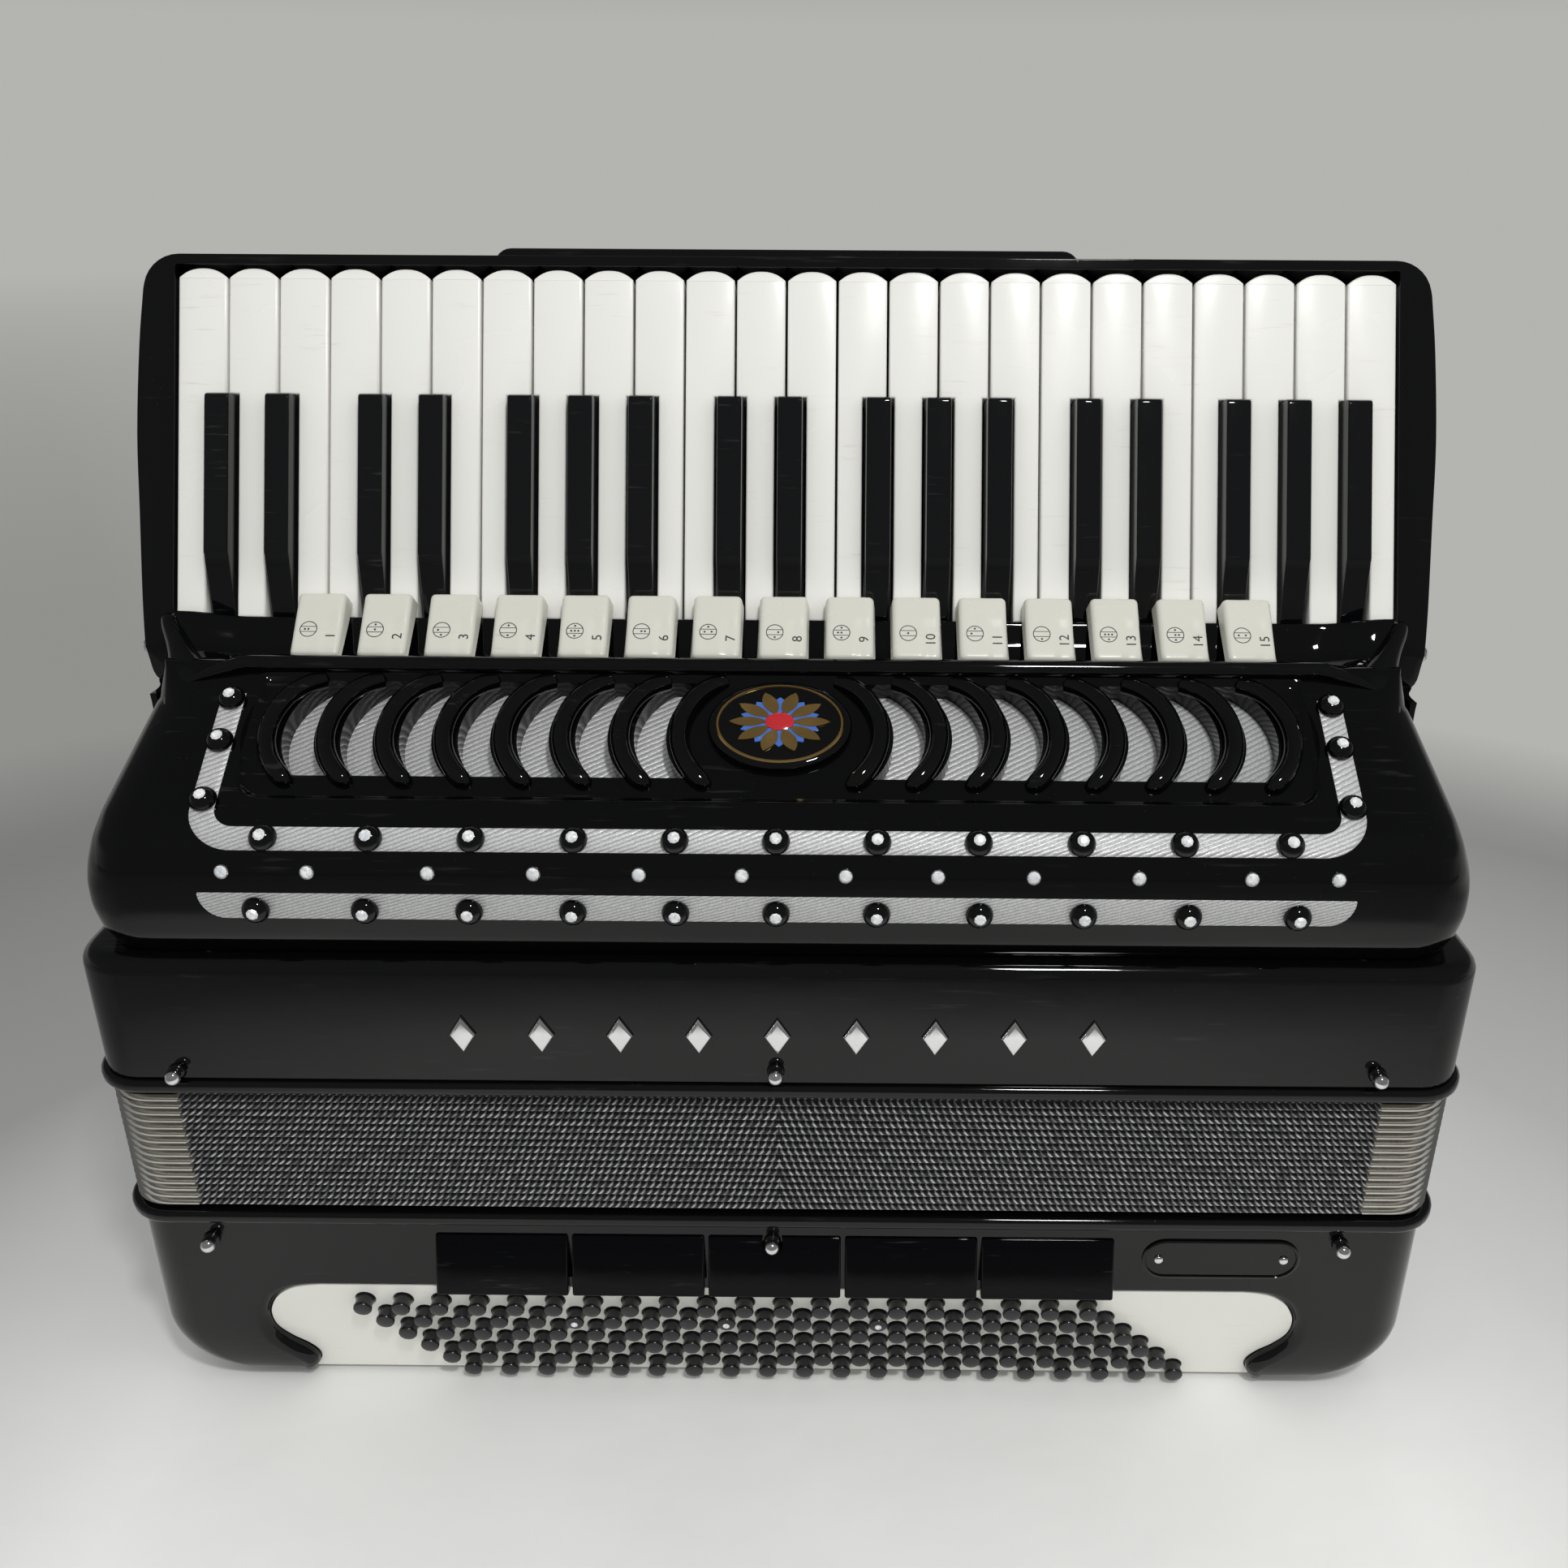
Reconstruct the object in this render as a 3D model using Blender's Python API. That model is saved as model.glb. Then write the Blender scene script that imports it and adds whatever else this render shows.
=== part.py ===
"""Piano accordion with 41 keys and 120 bass buttons, standing on the feet of its bass end.

X runs along the keyboard, +Y runs to the player's side at the back, and Z runs up. The bellows open
upwards. A section point is (depth, height): depth runs back from the front plane of the body, and
height runs up from the floor.
"""

import math

import bmesh
import bpy
from mathutils import Vector

# Driving sizes, in metres and degrees
FRONT_Y = -0.0941
CLEARANCE = 0.0003

CASE_WIDTH = 0.516
BASS_WIDTH = 0.513
BODY_DEPTH = 0.190
CASE_WALL = 0.005
CORNER_RADIUS = 0.018
CORNER_STEPS = 3
CASE_TOP_ROUND = 0.006

FOOT_HEIGHT = 0.005
FOOT_RADIUS = 0.007
FOOT_SPREAD = 0.190
BASS_HEIGHT = 0.081
BASS_END_ROUND = 0.028
BASS_ROUND_SHARES = (0.0, 0.1, 0.3, 0.6, 1.0)
BASS_FLOOR = 0.006
PLATE_HALF_WIDTH = 0.205
PLATE_FRONT = 0.036
PLATE_BACK = 0.172
PLATE_THICK = 0.004

FRAME_THICK = 0.0057
FRAME_LIP = 0.0025
FRAME_INSET = 0.014
BELLOWS_HEIGHT = 0.0554
BELLOWS_FOLDS = 17
FOLD_DEPTH = 0.006
BELLOWS_INSET = 0.001
BELLOWS_WALL = 0.010

TREBLE_HEIGHT = 0.051
PALLET_BOARD = 0.005
REED_BOARD = 0.006
REED_BLOCKS = 4
REED_BLOCK_DEPTH = 0.034
REED_BLOCK_GAP = 0.006
REED_END_ROOM = 0.024
BASS_REED_HEIGHT = 0.030
TREBLE_REED_HEIGHT = 0.071

WHITE_KEYS = 24
KEY_PITCH = 0.020
KEY_GAP = 0.001
KEY_LEAN = 24.0
KEY_FOOT = (0.1003, 0.3086)
KEY_LENGTH = 0.1314
KEY_FRONT = 0.0495
KEY_BODY = 0.014
KEY_TAIL = 0.006
TIP_ROUND = 0.0037
BLACK_GROUPS = ((1, 2), (4, 5), (7, 8, 9), (11, 12), (14, 15, 16), (18, 19), (21, 22, 23))
BLACK_SPREAD = 0.0036
BLACK_WIDTH = 0.011
BLACK_TOP_WIDTH = 0.0096
BLACK_HEIGHT = 0.0065
BLACK_SLOPE = 0.019
BLACK_SLOPE_FOOT = 0.002
BLACK_NOSE = 0.002
KEY_TAIL_DROP = 0.003
BLACK_GAP = 0.0008

AXLE_ALONG = -0.015
AXLE_BELOW = 0.009
AXLE_RADIUS = 0.002
AXLE_SEAT = 0.004
ARM_WIDTH = 0.003
ARM_LIFT = 0.001
ARM_HEEL = 0.008
ARM_FOOT_FRONT = 0.0025
ARM_FOOT_BACK = 0.0035
ARM_FOOT_RISE = 0.001
ARM_DRAW_IN = 0.99
PALLET_WIDTH = 0.007
PALLET_LENGTH = 0.022
PALLET_THICK = 0.0042
WHITE_PALLET_DEPTH = 0.040
BLACK_PALLET_DEPTH = 0.072
PALLET_HOLE_WIDTH = 0.004
PALLET_HOLE_LENGTH = 0.015

CHEEK_WIDTH = 0.0150
CHEEK_RISE = 0.0015
CHEEK_END = 0.003
CHEEK_FOOT = 0.015
CHEEK_DROP = 0.006
CHEEK_TAPER = 0.012
TRAY_END = 0.0051
TRAY_DROP = 0.020
TRAY_CORNER = 0.014
TRAY_FRONT = 0.112

PALM_LENGTH = 0.232
PALM_CENTRE = 0.003
PALM_THICK = 0.008
PALM_BELOW = 0.0225
PALM_PROUD = 0.0115
PALM_INSIDE = 0.010
PALM_TRAVEL = 0.004

COVER_WALL = 0.003
COVER_SKIRT = 0.222
COVER_CHIN = 0.240
COVER_FRONT = 0.0005
COVER_TUCK = 0.0065
BROW = (0.0035, 0.2480)
PANEL_FOOT = (0.0095, 0.2544)
PANEL_TOP = (0.066, 0.2910)
RIDGE = (0.0715, 0.2945)
COVER_WIDTHS = ((0.200, 0.2505), (0.228, 0.2505), (0.250, 0.246), (0.285, 0.2360), (0.297, 0.2335), (0.309, 0.2413))
EAR_INNER = 0.2240
EAR_LENGTH = 0.018
EAR_RISE = 0.001

GRILLE_FINS = 8
FIN_PITCH = 0.0216
FIN_FIRST = 0.0263
FIN_BOW = 0.0136
FIN_LEAN = 0.006
SLOT_WIDTH = 0.0125
SLOT_LOW = 0.024
SLOT_HIGH = 0.066
SLOT_STEPS = 6
CLOTH_THICK = 0.0008

TAB_COUNT = 15
TAB_PITCH = 0.0257
TAB_WIDTH = 0.0186
TAB_LENGTH = 0.0276
TAB_THICK = 0.0045
TAB_FOOT = (0.0765, 0.2950)
TAB_RISE = 43.5
TAB_PLATE_BELOW = 0.006
TAB_PLATE_END = 0.019
TAB_PLATE_LAP = 0.002
TAB_STEM = 0.004
TAB_ROD_ALONG = 0.009
TAB_ROD_BELOW = 0.012
TAB_ROD_RADIUS = 0.002
TAB_SLOT_ROOM = 0.001

BUTTON_ROWS = 6
BASS_NOTE_ROWS = 2
BUTTON_COLUMNS = 20
BUTTON_PITCH = 0.0154
ROW_PITCH = 0.0079
ROW_SHIFT = 0.0079
BUTTON_FIRST_X = -0.1686
BUTTON_RADIUS = 0.0038
BUTTON_HOLE = 0.0043
BUTTON_PROUD = 0.0058
BUTTON_WEB = 0.002
BUTTON_TRAVEL = 0.0042
BOARD_LEAN = 10.0
BOARD_TOP_HEIGHT = 0.0600
BOARD_LENGTH = 0.0584
BOARD_TOE = 0.0098
BOARD_THICK = 0.004
BOARD_FACE = 0.006
BOARD_FACE_ROOM = 0.0008
BOARD_HALF_WIDTH = 0.211
BOARD_FOOT_HALF_WIDTH = 0.188
FIRST_ROW_DOWN = 0.0136
WINDOW_TOP = 0.0540
WINDOW_HALF_WIDTH = 0.206
WINDOW_FOOT_HALF_WIDTH = 0.191
WINDOW_ROUND = 0.008
WINDOW_CORNER = 0.0048

BAR_COUNT = 5
BAR_PITCH = 0.0548
BAR_GAP = 0.0016
BAR_CENTRE = -0.0022
BAR_HINGE_HEIGHT = 0.079
BAR_LOW = 0.0589
BAR_THICK = 0.0029
BAR_PROUD = 0.0068
BAR_TOP_PROUD = 0.0012
BAR_ROD_RADIUS = 0.002
BAR_SEAT = 0.004

AIR_X = 0.195
AIR_HEIGHT = 0.045
AIR_RADIUS = 0.005
AIR_PROUD = 0.005
AIR_INSIDE = 0.012
AIR_FLANGE = 0.0075

ROUND_SIDES = 8
BUTTON_SIDES = 6

# Heights and widths that follow from the sizes above
BASS_TOP = FOOT_HEIGHT + BASS_HEIGHT
BASS_FRAME_TOP = BASS_TOP + CLEARANCE + FRAME_THICK
BELLOWS_FOOT = BASS_FRAME_TOP + CLEARANCE
BELLOWS_TOP = BELLOWS_FOOT + BELLOWS_HEIGHT
TREBLE_FRAME_FOOT = BELLOWS_TOP + CLEARANCE
TREBLE_FOOT = TREBLE_FRAME_FOOT + FRAME_THICK + CLEARANCE
TREBLE_TOP = TREBLE_FOOT + TREBLE_HEIGHT
KEYBOARD_HALF = WHITE_KEYS * KEY_PITCH / 2
REED_HALF_WIDTH = CASE_WIDTH / 2 - FRAME_INSET - REED_END_ROOM
REACH = 1.0


def turned(degrees):
    """The unit vector, as (depth, height), that leans this far back from straight up."""
    return (math.sin(math.radians(degrees)), math.cos(math.radians(degrees)))


def section_frame(origin, along):
    """A function from (along, out) to a section point, with out turned a quarter turn to the front."""
    outward = (-along[1], along[0])

    def point(distance, out):
        return (
            origin[0] + distance * along[0] + out * outward[0],
            origin[1] + distance * along[1] + out * outward[1],
        )

    return point


def heading(start, end):
    """The unit vector from one section point to another."""
    length = math.dist(start, end)
    return ((end[0] - start[0]) / length, (end[1] - start[1]) / length)


on_key = section_frame(KEY_FOOT, turned(KEY_LEAN))
on_tab = section_frame(TAB_FOOT, turned(90 - TAB_RISE))
on_panel = section_frame(PANEL_FOOT, heading(PANEL_FOOT, PANEL_TOP))
on_board = section_frame((CASE_WALL + CLEARANCE, BOARD_TOP_HEIGHT), turned(180 - BOARD_LEAN))
PANEL_LENGTH = math.dist(PANEL_FOOT, PANEL_TOP)
AXLE = on_key(AXLE_ALONG, -AXLE_BELOW)
TAB_ROD = on_tab(TAB_ROD_ALONG, -TAB_ROD_BELOW)
BAR_ROD = (CASE_WALL / 2, BAR_HINGE_HEIGHT)
PALLET_FOOT = TREBLE_TOP + CLEARANCE


def place(x, section):
    """The point of the model at this x and this section point."""
    return Vector((x, FRONT_Y + section[0], section[1]))


def across(first, second, x):
    """Places an outline drawn in section (depth, height) and carried along X."""
    return place(x, (first, second))


def upright(x, depth, height):
    """Places an outline drawn in plan (x, depth) and carried up."""
    return place(x, (depth, height))


def facing(x, height, depth):
    """Places an outline drawn on the front (x, height) and carried back."""
    return place(x, (depth, height))


def over_keys(x, along, out):
    """Places an outline drawn on the key tops (x, along) and carried out of them."""
    return place(x, on_key(along, out))


def over_panel(x, along, out):
    """Places an outline drawn on the grille panel and carried out of it."""
    return place(x, on_panel(along, out))


def over_tabs(x, along, out):
    """Places an outline drawn on the top of the register tabs and carried out of it."""
    return place(x, on_tab(along, out))


def over_board(x, down, out):
    """Places an outline drawn on the button board and carried out of its face."""
    return place(x, on_board(down, -out))


def circle(centre, radius, sides):
    """The corners of a regular polygon that stands for a circle."""
    turns = [math.tau * (step + 0.5) / sides for step in range(sides)]
    return [(centre[0] + radius * math.cos(turn), centre[1] + radius * math.sin(turn)) for turn in turns]


def rectangle(left, right, low, high):
    """The corners of an upright rectangle."""
    return [(left, low), (right, low), (right, high), (left, high)]


def rounded_plan(half_width, front, back, radius):
    """A rectangle in plan (x, depth) with round corners."""
    corners = (
        (half_width - radius, back - radius, 0),
        (-half_width + radius, back - radius, 90),
        (-half_width + radius, front + radius, 180),
        (half_width - radius, front + radius, 270),
    )
    points = []
    for x, depth, start in corners:
        for step in range(CORNER_STEPS + 1):
            turn = math.radians(start + 90 * step / CORNER_STEPS)
            points.append((x + radius * math.cos(turn), depth + radius * math.sin(turn)))
    return points


def make_material(name, colour, roughness, metallic=0.0):
    """A Principled material with one colour and finish."""
    material = bpy.data.materials.new(name)
    material.use_nodes = True
    shader = material.node_tree.nodes["Principled BSDF"]
    shader.inputs["Base Color"].default_value = (*colour, 1.0)
    shader.inputs["Roughness"].default_value = roughness
    shader.inputs["Metallic"].default_value = metallic
    return material


def solid(name, mesh_data):
    """A new object that holds a finished bmesh, with every face turned outwards."""
    bmesh.ops.recalc_face_normals(mesh_data, faces=mesh_data.faces)
    mesh = bpy.data.meshes.new(name)
    mesh_data.to_mesh(mesh)
    mesh_data.free()
    made = bpy.data.objects.new(name, mesh)
    bpy.context.scene.collection.objects.link(made)
    return made


def add_loft(mesh_data, loops, closed=False):
    """Skins a list of loops; the ends get caps, or the last loop joins the first one."""
    rings = [[mesh_data.verts.new(point) for point in loop] for loop in loops]
    pairs = list(zip(rings, rings[1:]))
    if closed:
        pairs.append((rings[-1], rings[0]))
    else:
        mesh_data.faces.new(rings[0])
        mesh_data.faces.new(rings[-1])
    for lower, upper in pairs:
        count = len(lower)
        for index in range(count):
            after = (index + 1) % count
            mesh_data.faces.new((lower[index], lower[after], upper[after], upper[index]))


def loft(name, loops, closed=False):
    """A solid skinned over a list of loops, in triangles because its faces may be twisted."""
    mesh_data = bmesh.new()
    add_loft(mesh_data, loops, closed)
    bmesh.ops.triangulate(mesh_data, faces=mesh_data.faces)
    return solid(name, mesh_data)


def prisms(name, outlines, start, end, placing):
    """One object that holds a prism for each outline, all carried from start to end."""
    mesh_data = bmesh.new()
    for outline in outlines:
        loops = [[placing(first, second, stop) for first, second in outline] for stop in (start, end)]
        add_loft(mesh_data, loops)
    return solid(name, mesh_data)


def prism(name, outline, start, end, placing):
    """A single prism."""
    return prisms(name, [outline], start, end, placing)


def combine(target, tool, operation):
    """Joins the tool to the target or cuts it out of the target, and removes the tool."""
    modifier = target.modifiers.new("combine", "BOOLEAN")
    modifier.operation = operation
    modifier.solver = "EXACT"
    modifier.object = tool
    graph = bpy.context.evaluated_depsgraph_get()
    result = bpy.data.meshes.new_from_object(target.evaluated_get(graph))
    target.modifiers.clear()
    before = target.data
    target.data = result
    result.name = target.name
    bpy.data.meshes.remove(before)
    bpy.data.objects.remove(tool)
    return target


def cut(target, tool):
    """Cuts the tool out of the target."""
    return combine(target, tool, "DIFFERENCE")


def join(target, tool):
    """Joins the tool to the target as one body."""
    return combine(target, tool, "UNION")


def finish(made, material, parent, pivot=None):
    """Gives a solid its material and its parent, and moves its origin to its joint's axis."""
    made.data.materials.clear()
    made.data.materials.append(material)
    made.data.shade_smooth()
    made.data.set_sharp_from_angle(angle=math.radians(35))
    made.parent = parent
    if pivot is not None:
        made.data.transform(made.matrix_world.Translation(-pivot))
        made.location = pivot
    return made


def bass_loop(height, inset):
    """The outline of the bass case at a height: its ends and its lower edges are round."""
    rise = min(max(height - FOOT_HEIGHT, 0.0), BASS_END_ROUND)
    pull = BASS_END_ROUND - math.sqrt(BASS_END_ROUND**2 - (BASS_END_ROUND - rise) ** 2)
    half = BASS_WIDTH / 2 - pull - inset
    shrink = pull * CASE_WALL / BASS_END_ROUND + inset
    radius = max(CORNER_RADIUS - inset, CASE_WALL)
    return [upright(x, depth, height) for x, depth in rounded_plan(half, shrink, BODY_DEPTH - shrink, radius)]


def both_halves(half):
    """A closed outline from its right half, listed from the foot up."""
    return half + [(-x, height) for x, height in reversed(half)]


def window_edge(room, top):
    """The right edge of the board's window up to a top, with some room inside it, as (x, height)."""
    return [
        (WINDOW_FOOT_HALF_WIDTH - room, FOOT_HEIGHT + WINDOW_ROUND),
        (WINDOW_HALF_WIDTH - room, WINDOW_TOP - 1.5 * WINDOW_ROUND),
        (WINDOW_HALF_WIDTH - room, top - WINDOW_CORNER),
        (WINDOW_HALF_WIDTH - WINDOW_CORNER - room, top),
    ]


def make_bass_case():
    """The bass case: a round-ended box, open to the bellows, with a window for the button board."""
    rounds = [FOOT_HEIGHT + BASS_END_ROUND * share for share in BASS_ROUND_SHARES]
    case = loft("bass_case", [bass_loop(height, 0.0) for height in (*rounds, BASS_TOP)])
    floor = FOOT_HEIGHT + BASS_FLOOR
    hollow_heights = (floor, *rounds[-2:])
    hollow = [bass_loop(height, CASE_WALL) for height in (*hollow_heights, BASS_TOP)]
    hollow.append([point + Vector((0, 0, CASE_WALL)) for point in hollow[-1]])
    cut(case, loft("hollow", hollow))
    opening = rectangle(-PLATE_HALF_WIDTH, PLATE_HALF_WIDTH, PLATE_FRONT, PLATE_BACK)
    cut(case, prism("opening", opening, 0.0, floor + CASE_WALL, upright))
    window = both_halves([(WINDOW_FOOT_HALF_WIDTH, 0.0), *window_edge(0.0, WINDOW_TOP)])
    cut(case, prism("window", window, -CASE_WALL, PLATE_FRONT - CASE_WALL, facing))
    bars_half = BAR_COUNT * BAR_PITCH / 2
    slot_low = BAR_HINGE_HEIGHT - BAR_ROD_RADIUS * 1.75
    slot_high = BAR_HINGE_HEIGHT + BAR_ROD_RADIUS * 1.75
    slot = rectangle(BAR_CENTRE - bars_half, BAR_CENTRE + bars_half, slot_low, slot_high)
    cut(case, prism("slot", slot, -CASE_WALL, CASE_WALL * 1.5, facing))
    seat = bars_half + BAR_SEAT + CLEARANCE
    sockets = circle(BAR_ROD, BAR_ROD_RADIUS + CLEARANCE, ROUND_SIDES)
    cut(case, prism("sockets", sockets, BAR_CENTRE - seat, BAR_CENTRE + seat, across))
    air_hole = circle((AIR_X, AIR_HEIGHT), AIR_RADIUS + CLEARANCE * 2, ROUND_SIDES)
    cut(case, prism("air_hole", air_hole, BODY_DEPTH - 2 * CASE_WALL, BODY_DEPTH + CASE_WALL, facing))
    return case


def make_bass_plate():
    """The bottom plate of the bass case with its four feet."""
    half = PLATE_HALF_WIDTH - CLEARANCE
    outline = rectangle(-half, half, PLATE_FRONT + CLEARANCE, PLATE_BACK - CLEARANCE)
    plate = prism("bass_plate", outline, FOOT_HEIGHT, FOOT_HEIGHT + PLATE_THICK, upright)
    edge = 1.5 * FOOT_RADIUS
    for x in (-FOOT_SPREAD, FOOT_SPREAD):
        for depth in (PLATE_FRONT + edge, PLATE_BACK - edge):
            foot = circle((x, depth), FOOT_RADIUS, ROUND_SIDES)
            join(plate, prism("foot", foot, 0.0, FOOT_HEIGHT + PLATE_THICK / 2, upright))
    return plate


def button_centre(row, column):
    """The place of one bass button on the board, as (x, down)."""
    x = BUTTON_FIRST_X + column * BUTTON_PITCH + row * ROW_SHIFT
    return (x, FIRST_ROW_DOWN + row * ROW_PITCH)


def button_outlines(rows, radius):
    """An outline for each button of these rows."""
    centres = [button_centre(row, column) for row in rows for column in range(BUTTON_COLUMNS)]
    return [circle(centre, radius, BUTTON_SIDES) for centre in centres]


def make_button_board():
    """The pale board with a hole for each bass button; its raised face fills the window of the case."""
    knee = BOARD_LENGTH - BOARD_TOE
    outline = [
        (-BOARD_HALF_WIDTH, 0.0),
        (BOARD_HALF_WIDTH, 0.0),
        (BOARD_HALF_WIDTH, knee),
        (BOARD_FOOT_HALF_WIDTH, knee),
        (BOARD_FOOT_HALF_WIDTH, BOARD_LENGTH),
        (-BOARD_FOOT_HALF_WIDTH, BOARD_LENGTH),
        (-BOARD_FOOT_HALF_WIDTH, knee),
        (-BOARD_HALF_WIDTH, knee),
    ]
    board = prism("button_board", outline, -BOARD_THICK, 0.0, over_board)
    drop = math.cos(math.radians(BOARD_LEAN))
    edge = window_edge(BOARD_FACE_ROOM, WINDOW_TOP - CLEARANCE)
    half = [(x, (BOARD_TOP_HEIGHT - height) / drop) for x, height in edge]
    face = both_halves([(WINDOW_FOOT_HALF_WIDTH - BOARD_FACE_ROOM, BOARD_LENGTH), *half])
    join(board, prism("face", face, -BOARD_THICK / 2, BOARD_FACE, over_board))
    holes = button_outlines(range(BUTTON_ROWS), BUTTON_HOLE)
    cut(board, prisms("holes", holes, -2 * BOARD_THICK, BOARD_FACE + BOARD_THICK, over_board))
    return board


def make_buttons(name, rows):
    """The buttons of some rows, joined by a web behind the board."""
    web_face = -BOARD_THICK - CLEARANCE
    button_end = BOARD_FACE + BUTTON_PROUD
    ends = [button_centre(row, column) for row in (rows[0], rows[-1]) for column in (0, BUTTON_COLUMNS - 1)]
    margin = (ROW_PITCH - CLEARANCE) / 2
    left = min(x for x, down in ends) - margin
    right = max(x for x, down in ends) + margin
    low = ends[0][1] - margin
    high = ends[-1][1] + margin
    web = prism(name, rectangle(left, right, low, high), web_face - BUTTON_WEB, web_face, over_board)
    buttons = prisms("buttons", button_outlines(rows, BUTTON_RADIUS), web_face - BUTTON_WEB / 2, button_end, over_board)
    return join(web, buttons)


def make_register_bars():
    """The five bass register bars, joined by their hinge rod."""
    half = BAR_COUNT * BAR_PITCH / 2
    rod = circle(BAR_ROD, BAR_ROD_RADIUS, ROUND_SIDES)
    seat = half + BAR_SEAT
    bars = prism("bass_register_bars", rod, BAR_CENTRE - seat, BAR_CENTRE + seat, across)
    top = BAR_HINGE_HEIGHT + BAR_ROD_RADIUS
    neck = BAR_ROD_RADIUS * 0.75
    profile = [
        (BAR_ROD[0], BAR_HINGE_HEIGHT + neck),
        (-CLEARANCE, BAR_HINGE_HEIGHT + neck),
        (-CLEARANCE, top),
        (-BAR_TOP_PROUD, top),
        (-BAR_PROUD, BAR_LOW),
        (-BAR_PROUD + BAR_THICK, BAR_LOW),
        (-CLEARANCE * 3, BAR_HINGE_HEIGHT - neck),
        (BAR_ROD[0], BAR_HINGE_HEIGHT - neck),
    ]
    for index in range(BAR_COUNT):
        left = BAR_CENTRE - half + index * BAR_PITCH + BAR_GAP / 2
        join(bars, prism("bar", profile, left, left + BAR_PITCH - BAR_GAP, across))
    return bars


def make_air_button():
    """The air button on the back of the bass case, with a flange inside the wall."""
    centre = (AIR_X, AIR_HEIGHT)
    inner = BODY_DEPTH - CASE_WALL - CLEARANCE
    shaft = circle(centre, AIR_RADIUS, ROUND_SIDES)
    button = prism("air_button", shaft, inner - AIR_INSIDE, BODY_DEPTH + AIR_PROUD, facing)
    flange = circle(centre, AIR_FLANGE, ROUND_SIDES)
    return join(button, prism("flange", flange, inner - CASE_WALL / 2, inner, facing))


def make_reed_block(name, board_foot, board_top, block_end, half_width, front):
    """A reed board with four reed blocks that stand in the bellows, as one comb-shaped section."""
    blocks_depth = REED_BLOCKS * REED_BLOCK_DEPTH + (REED_BLOCKS - 1) * REED_BLOCK_GAP
    start = (BODY_DEPTH - blocks_depth) / 2
    outline = rectangle(-half_width, half_width, front, BODY_DEPTH - front)
    block = prism(name, outline, board_foot, board_top, upright)
    middle = (board_foot + board_top) / 2
    for index in range(REED_BLOCKS):
        depth = start + index * (REED_BLOCK_DEPTH + REED_BLOCK_GAP)
        stand = rectangle(-REED_HALF_WIDTH, REED_HALF_WIDTH, depth, depth + REED_BLOCK_DEPTH)
        low, high = sorted((middle, block_end))
        join(block, prism("stand", stand, low, high, upright))
    return block


def plan_loop(half_width, front, radius, height):
    """A round-cornered outline at a height, as deep as the body less front at both sides."""
    return [upright(x, depth, height) for x, depth in rounded_plan(half_width, front, BODY_DEPTH - front, radius)]


def make_bellows_frame(name, foot):
    """One of the two wooden frames that hold the ends of the bellows."""
    outer_half = CASE_WIDTH / 2 + FRAME_LIP
    inner_half = CASE_WIDTH / 2 - FRAME_INSET
    outer_radius = CORNER_RADIUS + FRAME_LIP
    heights = (foot, foot + FRAME_THICK)
    outer = [plan_loop(outer_half, -FRAME_LIP, outer_radius, height) for height in heights]
    inner = [plan_loop(inner_half, FRAME_INSET, CASE_WALL, height) for height in reversed(heights)]
    return loft(name, outer + inner, closed=True)


def make_bellows():
    """The folded bellows, closed: pleats outside, a plain wall inside."""
    crest_half = CASE_WIDTH / 2 - BELLOWS_INSET
    loops = []
    for index in range(2 * BELLOWS_FOLDS + 1):
        depth = BELLOWS_INSET + (0.0 if index % 2 else FOLD_DEPTH)
        height = BELLOWS_FOOT + BELLOWS_HEIGHT * index / (2 * BELLOWS_FOLDS)
        half = crest_half + BELLOWS_INSET - depth
        loops.append(plan_loop(half, depth, CORNER_RADIUS - depth, height))
    wall = BELLOWS_INSET + BELLOWS_WALL
    for height in (BELLOWS_TOP, BELLOWS_FOOT):
        loops.append(plan_loop(crest_half - BELLOWS_WALL, wall, CORNER_RADIUS - wall, height))
    return loft("bellows", loops, closed=True)


def make_treble_case(pallets):
    """The treble case: round-topped walls, open to the bellows, under a pallet board with a hole for each key."""
    half = CASE_WIDTH / 2
    outer = [plan_loop(half, 0.0, CORNER_RADIUS, TREBLE_FOOT)]
    for degrees in (0, 45, 90):
        turn = math.radians(degrees)
        inset = CASE_TOP_ROUND * (1 - math.cos(turn))
        height = TREBLE_TOP - CASE_TOP_ROUND * (1 - math.sin(turn))
        outer.append(plan_loop(half - inset, inset, CORNER_RADIUS - inset, height))
    case = loft("treble_case", outer)
    hollow_heights = (TREBLE_FOOT - CASE_WALL, TREBLE_TOP - PALLET_BOARD)
    radius = CORNER_RADIUS - CASE_WALL
    hollow = [plan_loop(half - CASE_WALL, CASE_WALL, radius, height) for height in hollow_heights]
    cut(case, loft("hollow", hollow))
    holes = []
    for x, depth in pallets:
        reach = PALLET_HOLE_LENGTH / 2
        holes.append(
            rectangle(x - PALLET_HOLE_WIDTH / 2, x + PALLET_HOLE_WIDTH / 2, depth - reach, depth + reach)
        )
    cut(case, prisms("holes", holes, TREBLE_TOP - 2 * PALLET_BOARD, TREBLE_TOP + PALLET_BOARD, upright))
    return case


def cover_section(wall):
    """The front of the treble cover in section, or of the hollow inside it when wall is its thickness."""
    foot = TREBLE_TOP + CLEARANCE if wall == 0 else TREBLE_TOP - COVER_WALL
    front = COVER_FRONT + wall
    return [
        (front + COVER_TUCK, foot),
        (front, COVER_SKIRT),
        (front, COVER_CHIN - wall / 2),
        (BROW[0] + wall, BROW[1] - wall / 2),
        on_panel(wall / 2, -wall),
        on_panel(PANEL_LENGTH, -wall),
        RIDGE,
        (RIDGE[0] + COVER_WALL, RIDGE[1] - COVER_WALL / 3),
        on_tab(-TAB_PLATE_LAP, -TAB_PLATE_BELOW),
    ]


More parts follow.
